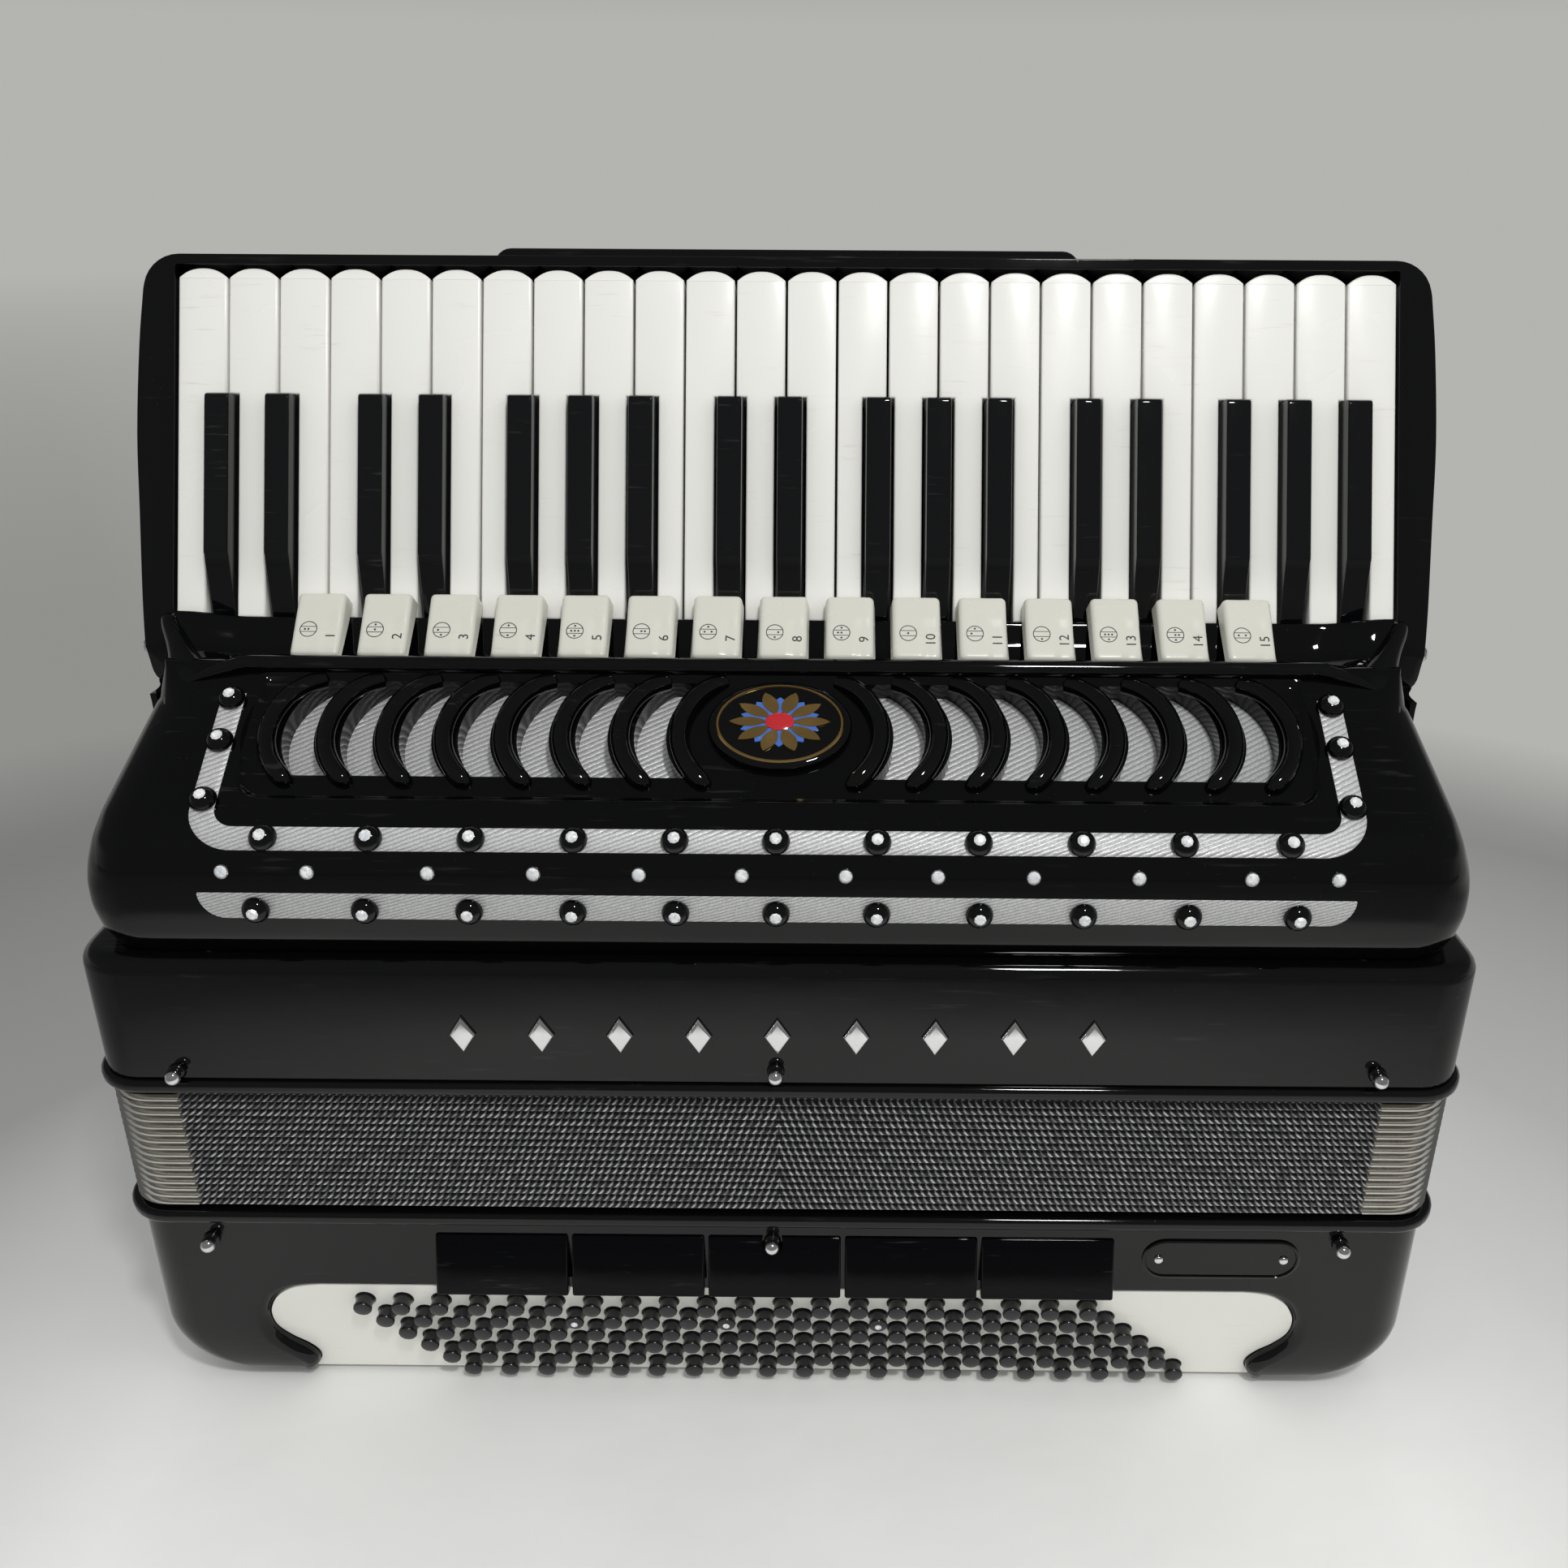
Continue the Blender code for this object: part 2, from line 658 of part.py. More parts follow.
def cover_solid(name, section, inset):
    """A section carried along X and trimmed to the cover's own width at each height."""
    made = prism(name, section, -REACH, REACH, across)
    side = [(width - inset, height) for height, width in COVER_WIDTHS]
    side.append((side[-1][0], COVER_WIDTHS[-1][0] + REACH))
    front = side + [(-x, height) for x, height in reversed(side)]
    return combine(made, prism("trim", front, -REACH, REACH, facing), "INTERSECT")


def make_treble_cover():
    """The grille cover over the pallets, with its curved slots and the plate under the register tabs."""
    underside = -TAB_PLATE_BELOW - COVER_WALL
    below_ridge = RIDGE[1] - 3 * COVER_WALL
    outer = cover_section(0.0)
    outer += [on_tab(TAB_PLATE_END, -TAB_PLATE_BELOW), on_tab(TAB_PLATE_END, underside)]
    outer += [on_tab(-TAB_PLATE_LAP, underside), (RIDGE[0], below_ridge), (RIDGE[0], TREBLE_TOP + CLEARANCE)]
    cover = cover_solid("treble_cover", outer, 0.0)
    far = RIDGE[0] + COVER_WALL
    inner = cover_section(COVER_WALL)[:6]
    inner += [(far, below_ridge - COVER_WALL / 3), (far, inner[0][1])]
    cut(cover, cover_solid("hollow", inner, COVER_WALL))
    join(cover, make_ears())
    cut(cover, prisms("slots", grille_slots(), -4 * COVER_WALL, COVER_WALL, over_panel))
    room = TAB_STEM / 2 + TAB_SLOT_ROOM
    stems = [rectangle(x - room, x + room, TAB_ROD_ALONG - room, TAB_ROD_ALONG + room) for x in tab_places()]
    cut(cover, prisms("stem_slots", stems, -TAB_PLATE_BELOW - 2 * COVER_WALL, 0.0, over_tabs))
    return cover


def make_ears():
    """The two ears that close the ends of the register plate and point up beside the keys."""
    seat = -TAB_PLATE_BELOW - COVER_WALL / 2
    section = [
        on_tab(-TAB_PLATE_LAP, seat),
        (RIDGE[0] + COVER_WALL / 2, RIDGE[1]),
        on_tab(EAR_LENGTH / 3, EAR_RISE),
        on_tab(EAR_LENGTH - COVER_WALL, EAR_RISE),
        on_tab(EAR_LENGTH, -COVER_WALL),
        on_tab(EAR_LENGTH, seat),
    ]
    ears = cover_solid("ears", section, 0.0)
    return cut(ears, prism("between", rectangle(-EAR_INNER, EAR_INNER, 0.0, REACH), -REACH, REACH, facing))


def grille_slots():
    """The curved slots between the grille's fins, as outlines on the panel, mirrored about the middle."""
    slots = []
    for index in range(GRILLE_FINS - 1):
        middle = FIN_FIRST + (index + 0.5) * FIN_PITCH
        edges = []
        for side in (-SLOT_WIDTH / 2, SLOT_WIDTH / 2):
            edge = []
            for step in range(SLOT_STEPS + 1):
                share = step / SLOT_STEPS
                bow = FIN_BOW * 4 * share * (1 - share) - FIN_LEAN * share
                edge.append((middle + side + bow, SLOT_LOW + (SLOT_HIGH - SLOT_LOW) * share))
            edges.append(edge)
        outline = edges[0] + edges[1][::-1]
        slots.append(outline)
        slots.append([(-x, along) for x, along in outline])
    return slots


def make_grille_cloth():
    """The silver cloth stretched under the grille's slots."""
    margin = SLOT_WIDTH / 2
    half = FIN_FIRST + GRILLE_FINS * FIN_PITCH + margin
    outline = rectangle(-half, half, SLOT_LOW - margin, SLOT_HIGH)
    top = -COVER_WALL - CLEARANCE
    return prism("grille_cloth", outline, top - CLOTH_THICK, top, over_panel)


def tab_places():
    """The x of each register tab."""
    return [(index - (TAB_COUNT - 1) / 2) * TAB_PITCH for index in range(TAB_COUNT)]


def make_register_switches():
    """The register tabs, whose stems pass through the cover to one rocking rod."""
    places = tab_places()
    end = TAB_COUNT / 2 * TAB_PITCH
    switches = prism("register_switches", circle(TAB_ROD, TAB_ROD_RADIUS, ROUND_SIDES), -end, end, across)
    half = TAB_STEM / 2
    stems = [rectangle(x - half, x + half, TAB_ROD_ALONG - half, TAB_ROD_ALONG + half) for x in places]
    join(switches, prisms("stems", stems, -TAB_ROD_BELOW, -TAB_THICK / 2, over_tabs))
    tabs = [rectangle(x - TAB_WIDTH / 2, x + TAB_WIDTH / 2, 0.0, TAB_LENGTH) for x in places]
    return join(switches, prisms("tabs", tabs, -TAB_THICK, 0.0, over_tabs))


def black_centres():
    """The x of each black key, by the number of the white key to its left."""
    centres = {}
    for group in BLACK_GROUPS:
        middle = (group[0] + group[-1]) / 2
        for number in group:
            nominal = -KEYBOARD_HALF + number * KEY_PITCH
            spread = BLACK_SPREAD * (number - middle)
            centres[number] = nominal + spread
    return centres


def white_rear(index, blacks):
    """The left and right edges of a white key where it runs between the black keys."""
    left = -KEYBOARD_HALF + index * KEY_PITCH + KEY_GAP / 2
    right = left + KEY_PITCH - KEY_GAP
    notch = BLACK_WIDTH / 2 + BLACK_GAP
    if index in blacks:
        left = blacks[index] + notch
    if index + 1 in blacks:
        right = blacks[index + 1] - notch
    return left, right


def white_outline(index, blacks):
    """The outline of one white key on the key plane, notched beside the black keys."""
    left = -KEYBOARD_HALF + index * KEY_PITCH + KEY_GAP / 2
    right = left + KEY_PITCH - KEY_GAP
    rear_left, rear_right = white_rear(index, blacks)
    shoulder = KEY_LENGTH - KEY_FRONT
    edge = KEY_LENGTH - TIP_ROUND
    outline = [(rear_left, -KEY_TAIL), (rear_right, -KEY_TAIL)]
    if index + 1 in blacks:
        outline += [(rear_right, shoulder), (right, shoulder)]
    middle = (left + right) / 2
    half = (right - left) / 2
    for share in (1.0, 0.6, 0.0, -0.6, -1.0):
        outline.append((middle + share * half, edge + TIP_ROUND * (1 - share**2)))
    if index in blacks:
        outline += [(left, shoulder), (rear_left, shoulder)]
    return outline


def black_profile():
    """The side view of a black key, as (along, out) on the key plane."""
    tip = KEY_LENGTH - KEY_FRONT - BLACK_GAP
    return [
        (-KEY_TAIL, -KEY_BODY),
        (tip, -KEY_BODY),
        (tip, BLACK_HEIGHT - BLACK_NOSE),
        (tip - BLACK_NOSE, BLACK_HEIGHT),
        (BLACK_SLOPE, BLACK_HEIGHT),
        (BLACK_SLOPE_FOOT, 0.0),
        (-KEY_TAIL, -KEY_TAIL_DROP),
    ]


def make_black_body(name, centre):
    """The playing part of a black key, narrower at its top."""
    loops = []
    for side in (-1, 1):
        loop = []
        for along, out in black_profile():
            width = BLACK_TOP_WIDTH if out > BLACK_HEIGHT / 2 else BLACK_WIDTH
            loop.append(over_keys(centre + side * width / 2, along, out))
        loops.append(loop)
    return loft(name, loops)


def arm_profile(pallet_depth):
    """The side view of a key's lever: tail, notch on the axle, and arm down to its pallet."""
    room = AXLE_RADIUS + CLEARANCE
    below = -KEY_BODY + ARM_LIFT
    pallet_top = PALLET_FOOT + PALLET_THICK
    return [
        on_key(KEY_TAIL, -KEY_TAIL_DROP),
        on_key(AXLE_ALONG - ARM_HEEL, -KEY_TAIL_DROP),
        (pallet_depth - ARM_FOOT_FRONT, pallet_top + ARM_FOOT_RISE),
        (pallet_depth - ARM_FOOT_FRONT, pallet_top - PALLET_THICK / 2),
        (pallet_depth + ARM_FOOT_BACK, pallet_top - PALLET_THICK / 2),
        (pallet_depth + ARM_FOOT_BACK, pallet_top + ARM_FOOT_RISE),
        on_key(AXLE_ALONG - room - ARM_WIDTH, below),
        on_key(AXLE_ALONG - room, below),
        on_key(AXLE_ALONG - room, -AXLE_BELOW),
        on_key(AXLE_ALONG - room * 0.6, -AXLE_BELOW + room),
        on_key(AXLE_ALONG + room * 0.6, -AXLE_BELOW + room),
        on_key(AXLE_ALONG + room, -AXLE_BELOW),
        on_key(AXLE_ALONG + room, below),
        on_key(KEY_TAIL, below),
    ]


def add_lever(key, centre, pallet_depth):
    """Joins a lever and its pallet to the playing part of a key."""
    x = centre * ARM_DRAW_IN
    half = ARM_WIDTH / 2
    join(key, prism("lever", arm_profile(pallet_depth), x - half, x + half, across))
    reach = PALLET_LENGTH / 2
    pallet = rectangle(x - PALLET_WIDTH / 2, x + PALLET_WIDTH / 2, pallet_depth - reach, pallet_depth + reach)
    return join(key, prism("pallet", pallet, PALLET_FOOT, PALLET_FOOT + PALLET_THICK, upright))


def make_key_axle():
    """The steel rod that all the keys turn on."""
    end = KEYBOARD_HALF + AXLE_SEAT - CLEARANCE
    return prism("key_axle", circle(AXLE, AXLE_RADIUS, ROUND_SIDES), -end, end, across)


def make_keyboard_bed():
    """The tray behind the keys: a wedge up the back, an end wall at the tips and two cheeks."""
    end = KEY_LENGTH + TRAY_END
    half = KEYBOARD_HALF + CHEEK_WIDTH
    foot = TREBLE_TOP + CLEARANCE
    tip_back = on_key(end, -KEY_BODY - TRAY_DROP)
    profile = [
        on_key(end, CHEEK_RISE),
        on_key(AXLE_ALONG - CHEEK_END, CHEEK_RISE),
        on_key(AXLE_ALONG - CHEEK_FOOT, -CHEEK_DROP),
        (RIDGE[0] + CLEARANCE, RIDGE[1] - TRAY_CORNER),
        (RIDGE[0] + CLEARANCE, foot),
        (BODY_DEPTH, foot),
        (BODY_DEPTH, tip_back[1] - TRAY_CORNER),
        tip_back,
    ]
    bed = prism("keyboard_bed", profile, -REACH, REACH, across)
    low = -REACH
    corner = TRAY_CORNER * 0.3
    plan = [
        (half - CHEEK_TAPER, low),
        (half - CHEEK_TAPER, AXLE_ALONG - TRAY_DROP),
        (half - CHEEK_TAPER / 3, 0.0),
        (half, KEY_LENGTH / 2),
        (half - CHEEK_TAPER / 6, end - TRAY_CORNER),
        (half - CHEEK_TAPER / 6 - corner, end - corner),
        (half - CHEEK_TAPER / 6 - TRAY_CORNER, end),
    ]
    plan += [(-x, along) for x, along in reversed(plan)]
    combine(bed, prism("plan", plan, -REACH, REACH, over_keys), "INTERSECT")
    inner = KEYBOARD_HALF + CLEARANCE
    wall = KEY_LENGTH + KEY_GAP
    trough = [
        on_key(wall, KEY_BODY),
        on_key(wall, -TRAY_DROP),
        on_key(-KEY_TAIL, -TRAY_DROP),
        (TRAY_FRONT + COVER_WALL, AXLE[1] - 0.010),
        (TRAY_FRONT + COVER_WALL, 0.0),
        (0.0, 0.0),
        (0.0, KEY_FOOT[1]),
    ]
    cut(bed, prism("trough", trough, -inner, inner, across))
    socket = circle(AXLE, AXLE_RADIUS + CLEARANCE, ROUND_SIDES)
    end_of_hole = KEYBOARD_HALF + AXLE_SEAT
    cut(bed, prism("socket", socket, -end_of_hole, end_of_hole, across))
    reach = PALM_LENGTH / 2 + CLEARANCE
    slot = rectangle(PALM_CENTRE - reach, PALM_CENTRE + reach, end - PALM_INSIDE - PALM_TRAVEL - CLEARANCE, end + REACH)
    slot_low = -PALM_BELOW - PALM_THICK - CLEARANCE
    cut(bed, prism("slot", slot, slot_low, -PALM_BELOW + CLEARANCE, over_keys))
    return bed


def make_palm_switch():
    """The long master bar along the tip edge of the keyboard."""
    end = KEY_LENGTH + TRAY_END
    half = PALM_LENGTH / 2
    round_off = PALM_PROUD / 2
    outline = [
        (PALM_CENTRE - half, end - PALM_INSIDE),
        (PALM_CENTRE + half, end - PALM_INSIDE),
        (PALM_CENTRE + half, end + PALM_PROUD - round_off),
        (PALM_CENTRE + half - round_off, end + PALM_PROUD),
        (PALM_CENTRE - half + round_off, end + PALM_PROUD),
        (PALM_CENTRE - half, end + PALM_PROUD - round_off),
    ]
    return prism("palm_switch", outline, -PALM_BELOW - PALM_THICK, -PALM_BELOW, over_keys)


def add_empty(name):
    """An empty that carries the pieces of one end of the instrument."""
    carrier = bpy.data.objects.new(name, None)
    bpy.context.scene.collection.objects.link(carrier)
    return carrier


def make_keys(parent, ivory, ebony):
    """All the keys, each with its origin on the axle; gives the place of every pallet."""
    blacks = black_centres()
    pallets = []
    for index in range(WHITE_KEYS):
        name = f"white_key_{index + 1:02d}"
        centre = -KEYBOARD_HALF + (index + 0.5) * KEY_PITCH
        key = prism(name, white_outline(index, blacks), -KEY_BODY, 0.0, over_keys)
        lever_x = sum(white_rear(index, blacks)) / 2
        add_lever(key, lever_x, WHITE_PALLET_DEPTH)
        pallets.append((lever_x * ARM_DRAW_IN, WHITE_PALLET_DEPTH))
        finish(key, ivory, parent, place(centre, AXLE))
    for count, centre in enumerate(blacks.values()):
        key = make_black_body(f"black_key_{count + 1:02d}", centre)
        add_lever(key, centre, BLACK_PALLET_DEPTH)
        pallets.append((centre * ARM_DRAW_IN, BLACK_PALLET_DEPTH))
        finish(key, ebony, parent, place(centre, AXLE))
    return pallets


def make_bass_end(lacquer, ivory, ebony, wood, cloth):
    """Everything that stands on the feet: the bass case and what it holds, and the bellows."""
    end = add_empty("bass_end")
    finish(make_bass_case(), lacquer, end)
    finish(make_bass_plate(), lacquer, end)
    finish(make_button_board(), ivory, end)
    press = place(0.0, on_board(FIRST_ROW_DOWN, 0.0))
    finish(make_buttons("bass_note_buttons", range(BASS_NOTE_ROWS)), ebony, end, press)
    finish(make_buttons("chord_buttons", range(BASS_NOTE_ROWS, BUTTON_ROWS)), ebony, end, press)
    finish(make_register_bars(), ebony, end, place(BAR_CENTRE, BAR_ROD))
    finish(make_air_button(), ebony, end, place(AIR_X, (BODY_DEPTH, AIR_HEIGHT)))
    board_top = BASS_TOP - CLEARANCE
    block_end = BELLOWS_FOOT + BASS_REED_HEIGHT - FRAME_THICK
    half = BASS_WIDTH / 2 - CASE_WALL - CORNER_RADIUS / 3
    margin = CASE_WALL + CORNER_RADIUS / 3
    block = make_reed_block("bass_reed_block", board_top - REED_BOARD, board_top, block_end, half, margin)
    finish(block, wood, end)
    finish(make_bellows_frame("bellows_frame_bass", BASS_TOP + CLEARANCE), lacquer, end)
    finish(make_bellows(), cloth, end)


def make_treble_end(lacquer, ivory, ebony, wood, cloth, steel):
    """Everything that rises when the bellows open: the treble case, its cover and the keyboard."""
    end = add_empty("treble_end")
    pallets = make_keys(end, ivory, ebony)
    finish(make_treble_case(pallets), lacquer, end)
    finish(make_bellows_frame("bellows_frame_treble", TREBLE_FRAME_FOOT), lacquer, end)
    board_top = TREBLE_TOP - PALLET_BOARD - CLEARANCE
    half = CASE_WIDTH / 2 - CASE_WALL - CORNER_RADIUS / 3
    margin = CASE_WALL + CORNER_RADIUS / 3
    block_end = board_top - TREBLE_REED_HEIGHT
    block = make_reed_block("treble_reed_block", board_top - REED_BOARD, board_top, block_end, half, margin)
    finish(block, wood, end)
    finish(make_treble_cover(), lacquer, end)
    finish(make_grille_cloth(), cloth, end)
    finish(make_register_switches(), ivory, end, place(0.0, TAB_ROD))
    finish(make_keyboard_bed(), lacquer, end)
    finish(make_key_axle(), steel, end)
    finish(make_palm_switch(), lacquer, end, place(PALM_CENTRE, on_key(KEY_LENGTH, -PALM_BELOW)))


def main():
    """Clears the scene and builds both ends of the accordion."""
    for old in list(bpy.data.objects):
        bpy.data.objects.remove(old)
    lacquer = make_material("black_lacquer", (0.012, 0.012, 0.014), 0.12)
    ivory = make_material("ivory_plastic", (0.86, 0.85, 0.80), 0.3)
    ebony = make_material("black_plastic", (0.02, 0.02, 0.022), 0.2)
    wood = make_material("reed_wood", (0.55, 0.38, 0.22), 0.6)
    cloth = make_material("dark_cloth", (0.05, 0.05, 0.06), 0.7)
    silver = make_material("silver_cloth", (0.72, 0.73, 0.75), 0.45, 0.5)
    steel = make_material("steel", (0.62, 0.62, 0.64), 0.3, 1.0)
    make_bass_end(lacquer, ivory, ebony, wood, cloth)
    make_treble_end(lacquer, ivory, ebony, wood, silver, steel)


main()
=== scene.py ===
# %% [markdown]
# # A piano accordion, dressed
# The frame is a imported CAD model: sixty plain solids that already sit and move as the real
# instrument does. This lesson dresses it. Nearly every solid is replaced by a surface worked out
# with numpy, which stands in the same place, and the small trim is added on top.
# The accordion stands on its bass end, with x along the keyboard, y to the back and z up.

# %% Load the frame
import math

import bmesh
import bpy
import numpy as np
from mathutils import Matrix, Vector


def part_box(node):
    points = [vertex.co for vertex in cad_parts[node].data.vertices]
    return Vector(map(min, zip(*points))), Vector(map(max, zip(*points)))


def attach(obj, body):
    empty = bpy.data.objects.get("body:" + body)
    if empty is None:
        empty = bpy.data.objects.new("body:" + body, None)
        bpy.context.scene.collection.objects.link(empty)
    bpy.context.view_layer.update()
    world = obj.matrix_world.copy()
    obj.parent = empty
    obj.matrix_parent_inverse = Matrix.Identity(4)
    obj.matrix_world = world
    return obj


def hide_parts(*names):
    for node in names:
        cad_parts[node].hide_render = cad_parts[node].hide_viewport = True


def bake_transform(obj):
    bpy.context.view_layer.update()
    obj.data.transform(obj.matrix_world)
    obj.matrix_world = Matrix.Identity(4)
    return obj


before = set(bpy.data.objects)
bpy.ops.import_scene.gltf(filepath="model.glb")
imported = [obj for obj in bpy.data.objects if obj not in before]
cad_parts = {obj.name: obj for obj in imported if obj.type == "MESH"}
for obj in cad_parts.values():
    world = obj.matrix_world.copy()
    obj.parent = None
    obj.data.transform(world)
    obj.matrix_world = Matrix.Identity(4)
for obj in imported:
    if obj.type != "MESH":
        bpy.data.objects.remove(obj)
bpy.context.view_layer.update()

# %% [markdown]
# ## The camera
# The photograph looks down at the front from about half a metre. Its place, tilt and lens were found
# by fitting known points of the instrument (key tips, tabs, frame lips) to their pixels, so the camera
# comes first and every later piece can be compared with the picture.

# %% Camera
CAMERA_PLACE = (0.0212, -0.5439, 0.4784)
CAMERA_YAW = math.radians(-0.239)
CAMERA_PITCH = math.radians(24.148)
CAMERA_ROLL = math.radians(0.325)
FOCAL_PIXELS = 1790.0
FRAME_PIXELS = 1932.0
CENTRE_PIXEL = 1024.5

lens = bpy.data.cameras.new("camera")
lens.sensor_width = 36.0
lens.lens = lens.sensor_width * FOCAL_PIXELS / FRAME_PIXELS
lens.shift_x = (FRAME_PIXELS / 2 - CENTRE_PIXEL) / FRAME_PIXELS
camera = bpy.data.objects.new("camera", lens)
bpy.context.scene.collection.objects.link(camera)
forward = np.array([
    math.sin(CAMERA_YAW) * math.cos(CAMERA_PITCH),
    math.cos(CAMERA_YAW) * math.cos(CAMERA_PITCH),
    -math.sin(CAMERA_PITCH),
])
level = np.array([math.cos(CAMERA_YAW), -math.sin(CAMERA_YAW), 0.0])
upward = np.cross(level, forward)
right = math.cos(CAMERA_ROLL) * level + math.sin(CAMERA_ROLL) * upward
above = -math.sin(CAMERA_ROLL) * level + math.cos(CAMERA_ROLL) * upward
turn = np.stack([right, above, -forward], -1)
camera.matrix_world = Matrix.Translation(CAMERA_PLACE) @ Matrix(turn.tolist()).to_4x4()
bpy.context.scene.camera = camera
print("lens", round(lens.lens, 2), "mm, shift", round(lens.shift_x, 4))

# %% [markdown]
# ## Places on the instrument
# Each main surface of an accordion leans its own way: the key tops, the register tabs, the grille
# panel, the button board. It is easier to draw on such a surface in its own flat coordinates, so each
# gets a function that turns (x, distance along it, distance out of it) into points of the frame.

# %% Leaning surfaces
MM = 0.001
case_low, case_high = (np.array(corner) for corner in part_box("treble_case"))
bass_low, bass_high = (np.array(corner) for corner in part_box("bass_case"))
FRONT = case_low[1]
BACK = case_high[1]


def leaning(origin, degrees, facing=1.0):
    """Points on a surface that leans back from straight up: origin plus distance times the leaning
    direction plus out times the direction a quarter turn to the front of it."""
    lean = math.radians(degrees)
    along = np.array([math.sin(lean), math.cos(lean)])
    outward = facing * np.array([-along[1], along[0]])

    def placed(x, distance, out):
        x, distance, out = np.broadcast_arrays(x, distance, out)
        depth = origin[0] + distance * along[0] + out * outward[0]
        height = origin[1] + distance * along[1] + out * outward[1]
        return np.stack([x, FRONT + depth, height], -1)

    return placed


PANEL_FOOT = np.array([9.5, 254.4]) * MM
PANEL_TOP = np.array([66.0, 291.0]) * MM
PANEL_LEAN = math.degrees(math.atan2(*(PANEL_TOP - PANEL_FOOT)))
over_keys = leaning((100.3 * MM, 308.6 * MM), 24.0)
over_tabs = leaning((76.5 * MM, 295.0 * MM), 46.5)
over_panel = leaning(PANEL_FOOT, PANEL_LEAN)
over_board = leaning((5.3 * MM, 60.0 * MM), 170.0, -1.0)
over_front = leaning((0.0, 0.0), 0.0)
over_back = leaning((BACK - FRONT, 0.0), 0.0, -1.0)
print("the grille panel leans", round(PANEL_LEAN, 1), "degrees")

# %% [markdown]
# ## Skins
# A surface is a grid of points. Quads join each point to its neighbours, and a row that goes round
# something closes on itself. From this one idea come the lofts, lathes, tubes and soft blocks below.
# Blender could make many of these with modifiers, but a formula keeps each size in one named place.

# %% Grids, lofts and outlines
def skin(grid, ring_rows=False, ring_columns=True, caps=False, uv=None):
    """Quads over a grid of points shaped (rows, columns, 3); rings close on themselves, and caps
    put one face over the first row and one over the last. uv has a value for every grid point."""
    rows, columns = grid.shape[:2]
    row, column = np.meshgrid(
        np.arange(rows if ring_rows else rows - 1),
        np.arange(columns if ring_columns else columns - 1),
        indexing="ij",
    )
    steps = ((0, 0), (0, 1), (1, 1), (1, 0))
    corners = [((row + a) % rows) * columns + (column + b) % columns for a, b in steps]
    faces = np.stack(corners, -1).reshape(-1, 4).tolist()
    face_uv = None
    if uv is not None:
        face_uv = np.stack([uv[row + a, column + b] for a, b in steps], -2).reshape(-1, 2)
    if caps:
        faces.append(list(range(columns)))
        faces.append(list(range((rows - 1) * columns, rows * columns)))
    return grid.reshape(-1, 3), faces, face_uv


def inset(outline, distance):
    """Moves every side of a closed outline inwards by a distance, each corner along its mitre."""
    ahead = np.roll(outline, -1, 0) - outline
    ahead = ahead / np.linalg.norm(ahead, axis=1, keepdims=True)
    x, y = outline.T
    area = np.sum(x * np.roll(y, -1) - np.roll(x, -1) * y)
    inward = np.sign(area) * np.stack([-ahead[:, 1], ahead[:, 0]], -1)
    behind = np.roll(inward, 1, 0)
    mitre = (inward + behind) / (1 + np.sum(inward * behind, 1, keepdims=True))
    return outline + distance * mitre


def soft_prism(outline, low, high, edge, placing, steps=4, both=False):
    """An outline carried from low to high, its upper edge (or both) a quarter circle: at the angle t
    the outline is inset by edge times (1 - cos t), and stands edge times (1 - sin t) below the end."""
    angle = np.linspace(0, np.pi / 2, steps + 1)
    insets = edge * (1 - np.cos(angle))
    levels = high - edge * (1 - np.sin(angle))
    if both:
        insets = np.concatenate([insets[::-1], insets])
        levels = np.concatenate([low + high - levels[::-1], levels])
    else:
        insets = np.concatenate([[0.0], insets])
        levels = np.concatenate([[low], levels])
    loops = np.stack([inset(outline, value) for value in insets])
    return skin(placing(loops[..., 0], loops[..., 1], levels[:, None]), caps=True)


def lathe(profile, centre, placing, sides=20):
    """A profile of (radius, out) turned about the axis that stands on a surface at centre."""
    profile = np.array(profile)
    angle = np.linspace(0, 2 * np.pi, sides, endpoint=False)
    radius = profile[:, :1]
    x = centre[0] + radius * np.cos(angle)
    along = centre[1] + radius * np.sin(angle)
    return skin(placing(x, along, profile[:, 1:]), caps=True)


def tube(path, radius, sides=12):
    """Circles of the given radii carried along a path of points, square to it."""
    tangent = np.gradient(path, axis=0)
    tangent = tangent / np.linalg.norm(tangent, axis=1, keepdims=True)
    first = np.cross(tangent, [0.0, -0.6, 0.8])
    first = first / np.linalg.norm(first, axis=1, keepdims=True)
    second = np.cross(tangent, first)
    angle = np.linspace(0, 2 * np.pi, sides, endpoint=False)
    spread = np.cos(angle)[:, None] * first[:, None] + np.sin(angle)[:, None] * second[:, None]
    return skin(path[:, None] + np.asarray(radius)[:, None, None] * spread, caps=True)


def round_rectangle(left, right, low, high, radius, steps=6):
    """A rectangle whose corners are arcs; radius is one value, or one for each corner from the upper
    right round to the left."""
    radii = np.broadcast_to(radius, 4)
    centres = np.array([(right, high), (left, high), (left, low), (right, low)], float)
    centres += radii[:, None] * np.array([(-1, -1), (1, -1), (1, 1), (-1, 1)])
    angle = np.radians(np.arange(4)[:, None] * 90 + np.linspace(0, 90, steps + 1))
    arcs = np.stack([np.cos(angle), np.sin(angle)], -1) * radii[:, None, None]
    return (centres[:, None] + arcs).reshape(-1, 2)


def mirrored(shell):
    """The same shell on the other side of the middle."""
    points, faces, uv = shell
    return points * np.array([-1.0, 1.0, 1.0]), faces, uv


print("skins ready")

# %% [markdown]
# ## From skin to piece
# A piece is one Blender object: one or more skins in one mesh, faces turned outwards, smooth but for
# its sharp edges. It rides on the CAD body that moves it, and hides the CAD solids it stands for.

